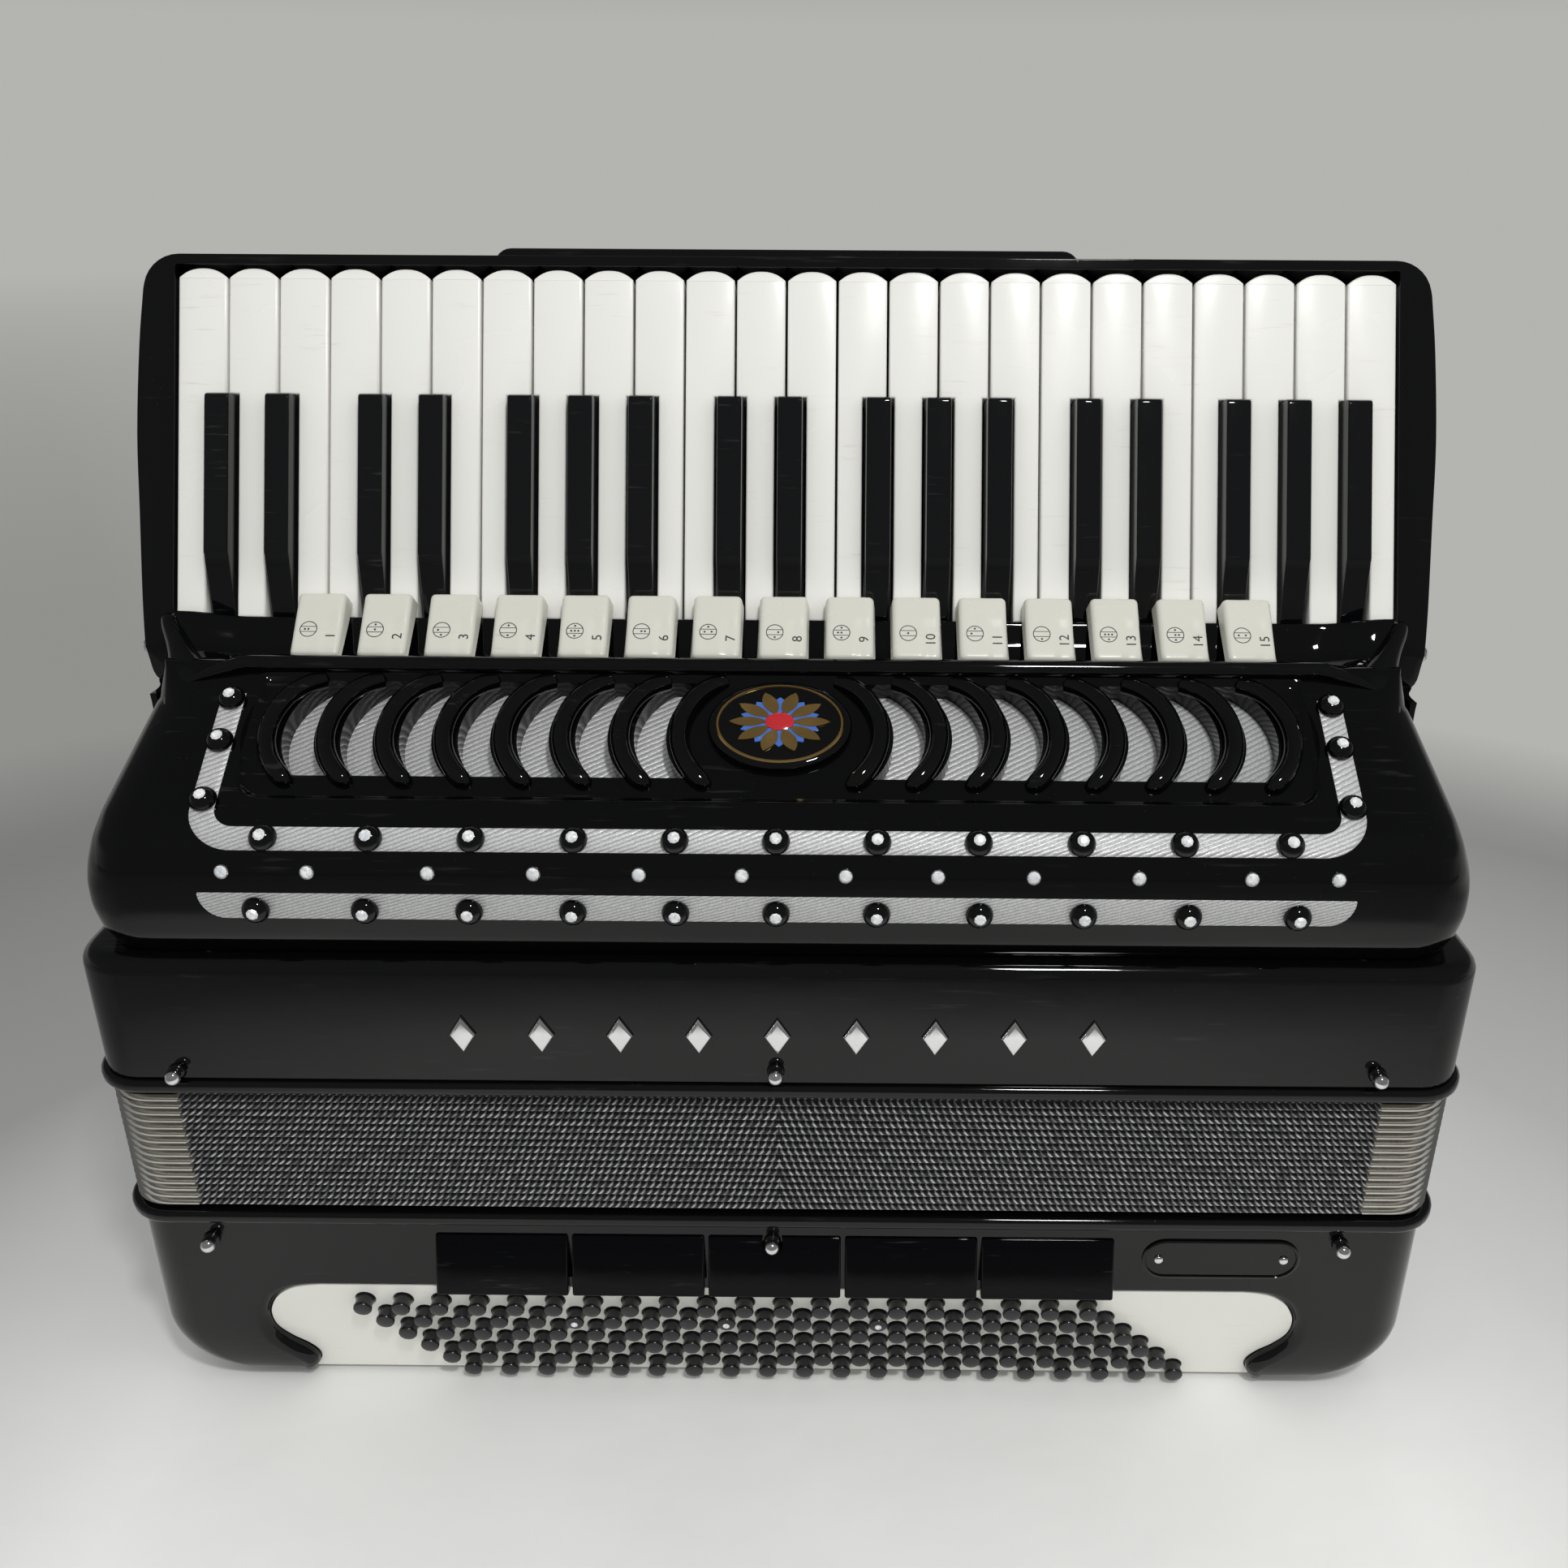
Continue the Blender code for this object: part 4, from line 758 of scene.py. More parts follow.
FRAME_LIP = 2.4 * MM
FRAME_INSET = 14.0 * MM
for node, body in (("bellows_frame_bass", "bass"), ("bellows_frame_treble", "treble")):
    low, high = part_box(node)
    profile = round_rectangle(-FRAME_LIP, FRAME_INSET, low[2], high[2], (0.8 * MM, 2.1 * MM, 2.1 * MM, 0.8 * MM), 5)
    grid = stacked(CASE_HALF, CASE_CORNER, profile)
    piece(f"{node}_lip", [skin(grid, ring_rows=True)], lacquer, body, [node], 60.0)
print("treble case and two frames")

# %% Bass case
BASS_HALF = bass_high[0]
BASS_ROUND = 28.0 * MM
BASS_FLOOR = 6.0 * MM
angle = np.linspace(0, np.pi / 2, 12)
rise = BASS_ROUND * (1 - np.cos(angle))
pull = BASS_ROUND * (1 - np.sin(angle))


def bass_ring(pulled, height, wall):
    """A ring of the bass case: the ends pull in by a quarter circle, the long sides by a fifth of it."""
    side = pulled * CASE_WALL / BASS_ROUND + wall
    ring = plan_ring(BASS_HALF - pulled - wall, side, CASE_CORNER - wall)
    return np.column_stack([ring, np.full(len(ring), height)])


outside = [bass_ring(p, bass_low[2] + r, 0.0) for p, r in zip(pull, rise)] + [bass_ring(0.0, bass_high[2], 0.0)]
inside = [bass_ring(p, bass_low[2] + r, CASE_WALL) for p, r in zip(pull, rise) if r > BASS_FLOOR]
inside.append(bass_ring(0.0, bass_high[2], CASE_WALL))
bass_case = piece("bass_shell", [skin(np.stack(outside + inside[::-1]), caps=True)], lacquer, "bass", ["bass_case"])


def smooth_path(points, steps=5):
    """A Catmull-Rom curve through points: on each span the cubic whose end slopes are half the
    difference of the neighbours."""
    points = np.asarray(points, float)
    padded = np.concatenate([2 * points[:1] - points[1:2], points, 2 * points[-1:] - points[-2:-1]])
    t = np.linspace(0, 1, steps, endpoint=False)[:, None, None]
    a, b, c, d = (padded[i:len(padded) - 3 + i] for i in range(4))
    curve = 0.5 * (2 * b + (c - a) * t + (2 * a - 5 * b + 4 * c - d) * t**2 + (3 * b - a - 3 * c + d) * t**3)
    return np.concatenate([curve.transpose(1, 0, 2).reshape(-1, points.shape[1]), points[-1:]])


WINDOW_EDGE = np.array([
    (0.0, 54.2), (120.0, 54.2), (177.0, 54.2), (187.5, 54.0), (196.5, 52.2), (202.6, 48.4), (206.4, 43.6),
    (209.0, 36.4), (208.2, 28.2), (203.2, 21.4), (197.6, 16.6), (194.2, 12.0), (193.8, 8.0), (195.4, 4.4), (196.2, 3.0),
]) * MM
BEAD_RADII = np.array([1.2, 1.2, 1.2, 1.4, 2.4, 3.6, 4.4, 4.8, 4.8, 4.6, 4.4, 4.2, 4.0, 3.6, 3.0])[:, None] * MM
path = smooth_path(np.concatenate([WINDOW_EDGE, BEAD_RADII], 1), 6)
window_edge, bead_radius = path[:, :2], path[:, 2]
heading = np.gradient(window_edge, axis=0)
heading /= np.linalg.norm(heading, axis=1, keepdims=True)
into_case = np.stack([-heading[:, 1], heading[:, 0]], -1)
bead_middle = window_edge + bead_radius[:, None] * into_case
window = np.concatenate([bead_middle, [(0.2, -0.02)], [(-0.2, -0.02)], bead_middle[:0:-1] * (-1, 1)])
front_depth = np.interp(bead_middle[:, 1], bass_low[2] + rise, pull) * CASE_WALL / BASS_ROUND
bead_path = np.stack([bead_middle[:, 0], FRONT + front_depth + bead_radius, bead_middle[:, 1]], -1)
bead_path = np.concatenate([bead_path[:0:-1] * (-1, 1, 1), bead_path])
bead = tube(bead_path, np.concatenate([bead_radius[:0:-1], bead_radius]), 24)
piece("window_bead", [bead], lacquer, "bass", sharp=70.0)
plate_low, plate_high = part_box("bass_plate")
opening = round_rectangle(plate_low[0] - 0.3 * MM, plate_high[0] + 0.3 * MM, plate_low[1] - 0.3 * MM, plate_high[1] + 0.3 * MM, 2.0 * MM, 2)


def carried(outline, low, high, placing):
    """An outline carried straight from low to high, with a face on each end."""
    return skin(placing(outline[:, 0], outline[:, 1], np.array([[low], [high]])), caps=True)


def upright(x, y, z):
    """A point from its own coordinates."""
    return np.stack(np.broadcast_arrays(x, y, z), -1)


air_low, air_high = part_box("air_button")
AIR_CENTRE = ((air_low[0] + air_high[0]) / 2, (air_low[2] + air_high[2]) / 2)
air_hole = AIR_CENTRE + 5.6 * MM * np.stack([np.cos(np.linspace(0, 2 * np.pi, 24, endpoint=False)), np.sin(np.linspace(0, 2 * np.pi, 24, endpoint=False))], -1)
carve(bass_case, [
    carried(window, -31.0 * MM, 10.0 * MM, over_front),
    carried(opening, -10.0 * MM, 20.0 * MM, upright),
    carried(air_hole, -12.0 * MM, 8.0 * MM, over_back),
])
soften(bass_case, 0.3 * MM, 2, 50.0)
print("bass case:", len(bass_case.data.polygons), "faces")

# %% [markdown]
# ## Bellows
# Seventeen folds of card and cloth, shut tight, with a nickel corner on each fold. The fold profile is
# a squared cosine, six millimetres deep, carried round the case's plan.

# %% Bellows
FOLDS = 17
FOLD_DEPTH = 6.0 * MM
ROWS_PER_FOLD = 10
bellows_low, bellows_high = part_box("bellows")


def fold_depth(v):
    """How far the cloth lies behind its crest: the fold depth times the squared cosine of half a turn
    for each fold."""
    return FOLD_DEPTH * np.cos(np.pi * v) ** 2


v = np.linspace(0, FOLDS, FOLDS * ROWS_PER_FOLD + 1)
heights = bellows_low[2] + (bellows_high[2] - bellows_low[2]) * v / FOLDS
depths = 1.0 * MM + fold_depth(v)
rings = np.stack([plan_ring(CASE_HALF - d, d, CASE_CORNER - d) for d in depths])
outer = np.concatenate([rings, np.broadcast_to(heights[:, None, None], (*rings.shape[:2], 1))], -1)
inner = plan_ring(CASE_HALF - 11.0 * MM, 11.0 * MM, CASE_CORNER - 11.0 * MM)
inner = np.stack([np.column_stack([inner, np.full(len(inner), z)]) for z in (bellows_high[2], bellows_low[2])])
crest = np.concatenate([rings[ROWS_PER_FOLD // 2], rings[ROWS_PER_FOLD // 2][:1]])
arc = np.concatenate([[0.0], np.cumsum(np.linalg.norm(np.diff(crest, axis=0), axis=1))])
front_middle = arc[:-1][np.argmin(np.abs(crest[:-1, 0]) + crest[:-1, 1])]
u = np.abs(arc - front_middle) / MM
uv = np.stack(np.broadcast_arrays(u, np.append(v, (FOLDS, 0.0, 0.0))[:, None]), -1)
bellows = piece("bellows_cloth_folds", [skin(np.concatenate([outer, inner]), ring_rows=True, uv=uv)], bellows_cloth, None, ["bellows"], 80.0)
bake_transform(bellows)

NICKEL_REACH = 12.5 * MM
NICKEL_PROUD = 0.5 * MM


def nickel_corner(mirror_x, mirror_y):
    """The fold profile again, half a millimetre proud, carried round one corner and a little further."""
    loops = []
    for proud in (-NICKEL_PROUD, 0.3 * MM):
        d = depths + proud
        corner = np.stack([round_rectangle(-CASE_HALF + i, CASE_HALF - i, FRONT + i, BACK - i, CASE_CORNER - i, 8)[27:] for i in d])
        start = corner[:, :1] - (NICKEL_REACH, 0.0)
        end = corner[:, -1:] + (0.0, NICKEL_REACH)
        path = np.concatenate([start, corner, end], 1)
        loops.append(np.concatenate([path, np.broadcast_to(heights[:, None, None], (*path.shape[:2], 1))], -1))
    grid = np.concatenate([loops[0], loops[1][::-1]]).transpose(1, 0, 2)
    centre = np.array([0.0, (FRONT + BACK) / 2, 0.0])
    return skin((grid - centre) * (mirror_x, mirror_y, 1.0) + centre, caps=True)


for number, mirror in enumerate(((1, 1), (-1, 1), (1, -1), (-1, -1))):
    corner = piece(f"bellows_corner_{number + 1}", [nickel_corner(*mirror)], nickel, None, sharp=70.0)
    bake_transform(corner)
print("bellows:", len(bellows.data.polygons), "faces,", FOLDS, "folds")

# %% [markdown]
# ## Keyboard bed and palm switch
# The keys lie in a black tray: a wedge behind them, a wall past their tips and a cheek at each end. The
# tray is the overlap of its side view and its plan, with the trough of the keys cut out; a Bevel rounds
# the edges that a hand touches. The palm switch is a bar that stands out of the tip wall.

# %% Keyboard bed
TRAY_END = KEY_LENGTH + 5.1 * MM
CHEEK_RISE = 1.5 * MM
TRAY_DROP = 20.0 * MM
bed_low, bed_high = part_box("keyboard_bed")
BED_HALF = bed_high[0]
tip_back = over_keys(0.0, TRAY_END, -KEY_BODY - TRAY_DROP)[1:]
cheek = over_keys(0.0, np.array([TRAY_END, -18.0 * MM, -30.0 * MM]), np.array([CHEEK_RISE, CHEEK_RISE, -6.0 * MM]))[:, 1:]
side_view = np.concatenate([
    cheek,
    [(bed_low[1], 280.5 * MM), (bed_low[1], bed_low[2]), (BACK, bed_low[2]), (BACK, tip_back[1] - 14.0 * MM)],
    smooth_path([(BACK, tip_back[1] - 14.0 * MM), (BACK + 0.6 * (tip_back[0] - BACK), tip_back[1] - 5.0 * MM), tip_back])[1:],
])
sides = np.array([-0.3, 0.3])
tray = np.stack(np.broadcast_arrays(sides[:, None], side_view[:, 0], side_view[:, 1]), -1)
bed = piece("keyboard_tray", [skin(tray, caps=True)], lacquer, "treble", ["keyboard_bed"])
plan_edge = smooth_path(np.array([
    (BED_HALF - 12.0 * MM, -40.0 * MM), (BED_HALF - 11.0 * MM, -34.0 * MM), (BED_HALF - 5.0 * MM, -29.0 * MM), (BED_HALF - 4.0 * MM, -20.0 * MM), (BED_HALF - 2.6 * MM, 0.0), (BED_HALF - 1.2 * MM, 35.0 * MM),
    (BED_HALF, 66.0 * MM), (BED_HALF - 0.6 * MM, 100.0 * MM), (BED_HALF - 2.0 * MM, TRAY_END - 14.0 * MM),
]), 4)
turn_angle = np.radians(np.linspace(8, 90, 8))
tip_corner = np.array([BED_HALF - 16.0 * MM, TRAY_END - 13.8 * MM]) + 13.8 * MM * np.stack([np.cos(turn_angle), np.sin(turn_angle)], -1)
half_plan = np.concatenate([[(BED_HALF - 12.0 * MM, -0.3)], plan_edge, tip_corner])
plan = np.concatenate([half_plan, half_plan[::-1] * (-1, 1)])
carve(bed, [carried(plan, -0.3, 0.3, over_keys)], "INTERSECT")
trough_on_key = np.array([(KEY_LENGTH + KEY_GAP, KEY_BODY), (KEY_LENGTH + KEY_GAP, -TRAY_DROP), (-KEY_TAIL, -TRAY_DROP)])
trough = over_keys(0.0, trough_on_key[:, 0], trough_on_key[:, 1])[:, 1:]
tray_front = FRONT + 115.0 * MM
trough = np.concatenate([trough, [(tray_front, 281.0 * MM), (tray_front, 0.0), (FRONT, 0.0), (FRONT, 308.6 * MM)]])
sides = np.array([-1, 1]) * (KEYBOARD_HALF + 0.3 * MM)
trough = np.stack(np.broadcast_arrays(sides[:, None], trough[:, 0], trough[:, 1]), -1)
palm_low, palm_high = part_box("palm_switch")
PALM_BELOW = 22.5 * MM
PALM_THICK = 8.0 * MM
PALM_LEFT = palm_low[0] - 8.0 * MM
slot = round_rectangle(PALM_LEFT - 0.4 * MM, palm_high[0] + 0.4 * MM, TRAY_END - 14.4 * MM, TRAY_END + 0.1, 0.5 * MM, 1)
carve(bed, [skin(trough, caps=True), carried(slot, -PALM_BELOW - PALM_THICK - 0.4 * MM, -PALM_BELOW + 0.4 * MM, over_keys)])
soften(bed, 2.2 * MM, 4, 45.0)

palm = round_rectangle(PALM_LEFT, palm_high[0], TRAY_END - 10.0 * MM, TRAY_END + 12.3 * MM, (7.0 * MM, 7.0 * MM, 1.0 * MM, 1.0 * MM), 6)
piece("palm_bar", [soft_prism(palm, -PALM_BELOW - PALM_THICK, -PALM_BELOW, 2.6 * MM, over_keys, both=True)], lacquer, "palm", ["palm_switch"], 60.0)
CHEEK_SCREW = np.array([(3.0, -2.0), (3.0, 0.8), (2.6, 1.7), (1.6, 2.3), (0.6, 2.5)]) * MM
cheek_screws = [
    lathe(CHEEK_SCREW, (-17.0 * MM, -3.4 * MM), lambda a, b, o, side=side: over_keys(side * (BED_HALF - 3.7 * MM + o), a, b), 18)
    for side in (-1, 1)
]
piece("cheek_screws", cheek_screws, chrome, "treble", sharp=50.0)
print("bed:", len(bed.data.polygons), "faces")

# %% [markdown]
# ## Treble cover
# The cover is one moulded shell: it tucks in above the case, stands straight, leans back over the brow
# to the grille panel, and ends in a ridge under the register tabs. It is a stack of U-shaped rows, one
# for each point of the section. On the panel the columns bend with the fins of the grille, so a window
# is simply a block of faces left out, with a strip for its walls.

# %% Cover section and widths
COVER_BACK = 71.5 * MM
COVER_CORNER = 19.0 * MM
SECTION = np.array([
    (6.8, 205.3), (5.6, 207.5), (2.4, 214.0), (0.5, 223.0), (0.5, 240.0), (3.5, 248.0), (9.5, 254.4), (66.0, 291.0), (70.2, 294.9), (72.6, 294.6),
]) * MM
COVER_WIDTHS = np.array([
    (205.0, 247.4), (212.0, 249.2), (222.0, 250.5), (232.0, 250.3), (250.0, 246.0), (285.0, 236.0), (297.0, 233.6), (309.0, 241.0),
]) * MM


def rounded(values, spread):
    """A fine row of points with its corners averaged over their neighbours by a bell curve."""
    reach = np.arange(-3 * spread, 3 * spread + 1)
    weights = np.exp(-0.5 * (reach / spread) ** 2)
    padded = np.pad(values, 3 * spread, mode="reflect", reflect_type="odd")
    return np.convolve(padded, weights / weights.sum(), mode="valid")


section_arc = np.concatenate([[0.0], np.cumsum(np.linalg.norm(np.diff(SECTION, axis=0), axis=1))])
fine = np.arange(0, section_arc[-1], 0.25 * MM)
fine_depth = rounded(np.interp(fine, section_arc, SECTION[:, 0]), 6)
fine_height = rounded(np.interp(fine, section_arc, SECTION[:, 1]), 6)
PANEL_START = section_arc[6]
PANEL_LENGTH = section_arc[7] - section_arc[6]
SLOT_LOW = 23.0 * MM
SLOT_HIGH = 65.5 * MM
panel_rows = np.concatenate([np.arange(1.0, 22.6, 0.75) * MM, np.linspace(SLOT_LOW, SLOT_HIGH, 19), [66.3 * MM]])
row_arc = np.concatenate([np.linspace(0, PANEL_START - 1.0 * MM, 34), PANEL_START + panel_rows, np.linspace(PANEL_START + PANEL_LENGTH, fine[-1], 6)])
row_depth = np.interp(row_arc, fine, fine_depth)
row_height = np.interp(row_arc, fine, fine_height)
row_along = row_arc - PANEL_START
height_steps = np.linspace(200.0, 312.0, 449) * MM
wide = rounded(np.interp(height_steps, COVER_WIDTHS[:, 0], COVER_WIDTHS[:, 1]), 10)
row_half = np.interp(row_height, height_steps, wide)
print("cover rows:", len(row_arc))

# %% Grille layout
FIN_COUNT = 8
FIN_PITCH = 21.6 * MM
FIN_FIRST = 26.3 * MM
FIN_RADIUS = 28.0 * MM
FIN_LOW = 20.0 * MM
FIN_MIDDLE = 42.0 * MM
FIN_HIGH = 67.0 * MM
SLOT_HALF = 5.9 * MM
RECESS_DEPTH = 2.0 * MM
RECESS_LOW = 11.5 * MM
RECESS_CORNER = 11.0 * MM
RECESS_HALF = 195.5 * MM


def fin_bow(along):
    """How far a fin stands outwards of its foot: a circle about the panel's middle height, less its
    value at the foot, and nothing below the foot."""
    along = np.clip(along, FIN_LOW, FIN_HIGH)
    circle = np.sqrt(FIN_RADIUS**2 - (along - FIN_MIDDLE) ** 2)
    return circle - math.sqrt(FIN_RADIUS**2 - (FIN_LOW - FIN_MIDDLE) ** 2)


def smooth_step(value, low, high):
    """Nought below low, one above high, and an S-shaped cubic between them."""
    share = np.clip((value - low) / (high - low), 0, 1)
    return share * share * (3 - 2 * share)


def recess(x, along):
    """The share of the recess at a place on the panel: full inside a round-cornered rectangle, nought
    at its rim; the distance to the rim is the corner radius less the reach past the corner's centre."""
    past_side = np.clip(np.abs(x) - RECESS_HALF + RECESS_CORNER, 0, None)
    past_foot = np.clip(RECESS_LOW + RECESS_CORNER - along, 0, None)
    rim = smooth_step(RECESS_CORNER - np.hypot(past_side, past_foot), 0.0, 3.0 * MM)
    head = smooth_step(PANEL_LENGTH + 1.0 * MM - along, 0.0, 3.5 * MM)
    return rim * head


middles = FIN_FIRST + (np.arange(FIN_COUNT - 1) + 0.5) * FIN_PITCH
inner_columns = np.concatenate([
    np.linspace(0, FIN_FIRST - 1.0 * MM, 6),
    (middles[:, None] + SLOT_HALF * np.array([-1, -0.5, 0.0, 0.5, 1.0])).ravel(),
    (middles[:-1, None] + FIN_PITCH / 2).ravel(),
    np.concatenate([[178.0, 181.0, 184.0], np.arange(186.0, 198.0, 1.0), [199.0, 202.0, 206.0]]) * MM,
])
inner_columns = np.sort(inner_columns)
columns = np.concatenate([-inner_columns[:0:-1], inner_columns])
print("cover columns:", len(columns), "fins:", 2 * FIN_COUNT)

# %% Cover shell
def cover_rows():
    """Rows of the cover: from the back edge of the left side, round the front, to the right one. The
    panel part of each row is moved in by the recess, along the section's own normal."""
    slope = np.stack([np.gradient(row_depth, row_arc), np.gradient(row_height, row_arc)], -1)
    inward = np.stack([slope[:, 1], -slope[:, 0]], -1)
    corner = np.minimum(COVER_CORNER, np.maximum(COVER_BACK - row_depth, 0.6 * MM))
    on_panel = smooth_step(row_along, 0.0, FIN_LOW)[:, None]
    spread = smooth_step(np.abs(columns), 10.0 * MM, 22.0 * MM) * (1 - smooth_step(np.abs(columns), 186.0 * MM, 197.0 * MM))
    x_middle = columns + np.sign(columns) * spread * fin_bow(row_along)[:, None] * on_panel
    sunk = recess(x_middle, row_along[:, None]) * RECESS_DEPTH
    depth_middle = row_depth[:, None] + sunk * inward[:, :1]
    height_middle = row_height[:, None] + sunk * inward[:, 1:]
    share = np.linspace(0, 1, 5)[1:]
    edge_x = (row_half - corner)[:, None]
    x_between = columns[-1] + share * (edge_x - columns[-1])
    turn = np.linspace(0, np.pi / 2, 10)[1:]
    x_corner = edge_x + corner[:, None] * np.sin(turn)
    depth_corner = (row_depth + corner)[:, None] - corner[:, None] * np.cos(turn)
    back = np.maximum(COVER_BACK, row_depth + corner)[:, None]
    depth_side = depth_corner[:, -1:] + (back - depth_corner[:, -1:]) * np.linspace(0, 1, 5)[1:]
    x_side = np.broadcast_to(row_half[:, None], depth_side.shape)
    x_right = np.concatenate([x_between, x_corner, x_side], 1)
    depth_right = np.concatenate([np.broadcast_to(row_depth[:, None], x_between.shape), depth_corner, depth_side], 1)
    height_right = np.broadcast_to(row_height[:, None], x_right.shape)
    x = np.concatenate([-x_right[:, ::-1], x_middle, x_right], 1)
    depth = np.concatenate([depth_right[:, ::-1], depth_middle, depth_right], 1)
    height = np.concatenate([height_right[:, ::-1], height_middle, height_right], 1)
    return np.stack([x, FRONT + depth, height], -1), x_right.shape[1]


cover_grid, border = cover_rows()
slot_rows = np.flatnonzero((row_along >= SLOT_LOW - 1e-6) & (row_along <= SLOT_HIGH + 1e-6))
points, faces, no_uv = skin(cover_grid, ring_columns=False)
face_row, face_column = np.divmod(np.arange(len(faces)), cover_grid.shape[1] - 1)
face_x = np.abs((columns[:-1] + columns[1:]) / 2)
face_x = np.concatenate([np.full(border, 1.0), face_x, np.full(border, 1.0)])[face_column]
in_slot = np.min(np.abs(face_x[:, None] - middles), 1) < SLOT_HALF
in_slot &= (face_row >= slot_rows[0]) & (face_row < slot_rows[-1])
open_faces = [face for face, gone in zip(faces, in_slot) if not gone]


def slot_wall(middle, side):
    """The wall of one grille window: the window's edge, and the same edge sunk 3 mm into the panel."""
    near_column = np.argmin(np.abs(columns - side * (middle - SLOT_HALF))) + border
    far_column = np.argmin(np.abs(columns - side * (middle + SLOT_HALF))) + border
    low, high = sorted((near_column, far_column))
    first, last = slot_rows[0], slot_rows[-1]
    rim = np.concatenate([
        cover_grid[first, low:high],
        cover_grid[first:last, high],
        cover_grid[last, high:low:-1],
        cover_grid[last:first:-1, low],
    ])
    sink = over_panel(0.0, 0.0, -9.0 * MM) - over_panel(0.0, 0.0, 0.0)
    return skin(np.stack([rim, rim + sink]))


walls = [slot_wall(middle, side) for middle in middles for side in (-1, 1)]
print("cover:", len(open_faces), "faces,", len(walls), "windows")

# %% [markdown]
# Behind the ridge a concave plate carries the register tabs; at each end it turns up into a horn-shaped
# ear beside the keys. The fins are round bars on arcs, thinner at their ends.

# %% Tab plate, ears and fins
PLATE_SECTION = smooth_path(np.array([
    (72.6, 294.6), (74.4, 292.7), (77.2, 291.4), (81.0, 291.0), (86.0, 291.9), (89.8, 294.9), (92.8, 299.4), (94.8, 303.0), (96.0, 303.9),
    (97.0, 302.6), (96.6, 300.6),
]) * MM, 4)
plate_half = np.interp(PLATE_SECTION[:, 1], height_steps, wide) - 0.6 * MM
share = np.concatenate([np.linspace(-1, -0.86, 10), np.linspace(-0.86, 0.86, 9)[1:-1], np.linspace(0.86, 1, 10)])
plate_x = plate_half[:, None] * share
lift = 7.0 * MM * smooth_step(np.abs(share), 0.88, 0.985) * np.sin(np.pi * np.linspace(0, 1, len(PLATE_SECTION)))[:, None]
plate_grid = np.stack([plate_x, FRONT + PLATE_SECTION[:, :1] - 0.69 * lift, PLATE_SECTION[:, 1:] + 0.72 * lift], -1)


EAR_MARKS = np.array([
    (52.0, 231.0, 207.0, 3.0), (60.0, 232.8, 210.0, 3.8), (67.0, 234.0, 214.5, 4.6), (74.0, 234.6, 219.5, 5.0), (82.0, 237.2, 226.0, 4.8),
    (90.0, 240.8, 232.0, 4.2), (94.0, 242.2, 234.6, 3.8),
]) * MM


def ear():
    """A horn that carries the panel on past its ridge: ellipses from inner to outer edge whose front
    stays on the panel's plane, leaning outwards as they rise to a round tip."""
    marks = smooth_path(EAR_MARKS, 4)
    tip = np.cos(np.linspace(0, np.pi / 2 * 0.97, 8))[1:]
    along = np.concatenate([marks[:, 0], marks[-1, 0] + 4.0 * MM * np.sqrt(1 - tip**2)])
    outer, inner, thick = (np.concatenate([column, np.full(len(tip), column[-1])]) for column in marks[:, 1:].T)
    shrink = np.concatenate([np.ones(len(marks)), tip])
    front = np.interp(along, EAR_MARKS[:, 0], np.array([-0.9, -0.3, 0.4, 0.6, 0.8, 1.0, 1.0]) * MM)
    angle = np.linspace(0, 2 * np.pi, 24, endpoint=False)
    x = ((outer + inner) / 2)[:, None] + ((outer - inner) / 2 * shrink)[:, None] * np.cos(angle)
    out = (front - thick)[:, None] + (thick * shrink)[:, None] * np.sin(angle)
    return skin(over_panel(x, along[:, None], out), caps=True)


def fin(foot, side):
    """A round bar on the fin's arc: its foot is a round end on the recess floor, its head dips under
    the ridge."""
    along = np.concatenate([FIN_LOW - 1.5 * MM + np.array([0.0, 0.4, 1.2, 2.6, 4.5]) * MM, np.linspace(FIN_LOW + 5.0 * MM, FIN_HIGH, 18)])
    radius = 3.6 * MM * np.concatenate([[0.25, 0.5, 0.75, 0.93, 1.0], np.ones(18)])
    out = np.interp(along, np.array([18.5, 26.0, 58.0, 64.0, 67.0]) * MM, np.array([-2.0, -0.2, -0.2, -1.4, -2.8]) * MM)
    return tube(over_panel(side * (foot + fin_bow(along)), along, out), radius, 14)


def ridge():
    """A round bar along the head of the panel, whose ends turn down and taper to a leaf's point."""
    half = np.array([(0.0, 71.2, 1.3, 3.3), (100.0, 71.2, 1.3, 3.3), (196.0, 71.2, 1.3, 3.3), (203.0, 70.8, 1.2, 3.2),
                     (209.0, 69.6, 0.9, 2.9), (215.0, 67.4, 0.5, 2.2), (220.0, 65.1, 0.1, 1.2), (223.0, 63.6, -0.2, 0.3)]) * MM
    half = smooth_path(half, 5)
    x, along, out, radius = np.concatenate([half[:0:-1] * (-1, 1, 1, 1), half]).T
    return tube(over_panel(x, along, out), radius, 16)


cover = piece("cover_shell", [(points, open_faces, None), *walls, skin(plate_grid, ring_columns=False)], cover_lacquer, "treble", ["treble_cover"], 45.0, closed=False)
PLATE_END = np.array([
    (70.5, 262.0), (70.5, 292.5), (74.4, 292.2), (81.0, 290.5), (86.0, 291.4), (89.8, 294.4), (92.8, 298.9), (94.8, 302.5), (96.4, 302.5), (96.4, 262.0),
]) * MM
end_sides = np.array([[233.0], [235.2]]) * MM
plate_end = skin(np.stack(np.broadcast_arrays(end_sides, FRONT + PLATE_END[:, 0], PLATE_END[:, 1]), -1), caps=True)
ears = piece("cover_ears", [ear(), mirrored(ear()), plate_end, mirrored(plate_end), ridge()], lacquer, "treble", sharp=70.0)
feet = FIN_FIRST + np.arange(FIN_COUNT) * FIN_PITCH
fins = piece("grille_fins", [fin(foot, side) for foot in feet for side in (-1, 1)], lacquer, "treble", sharp=70.0)
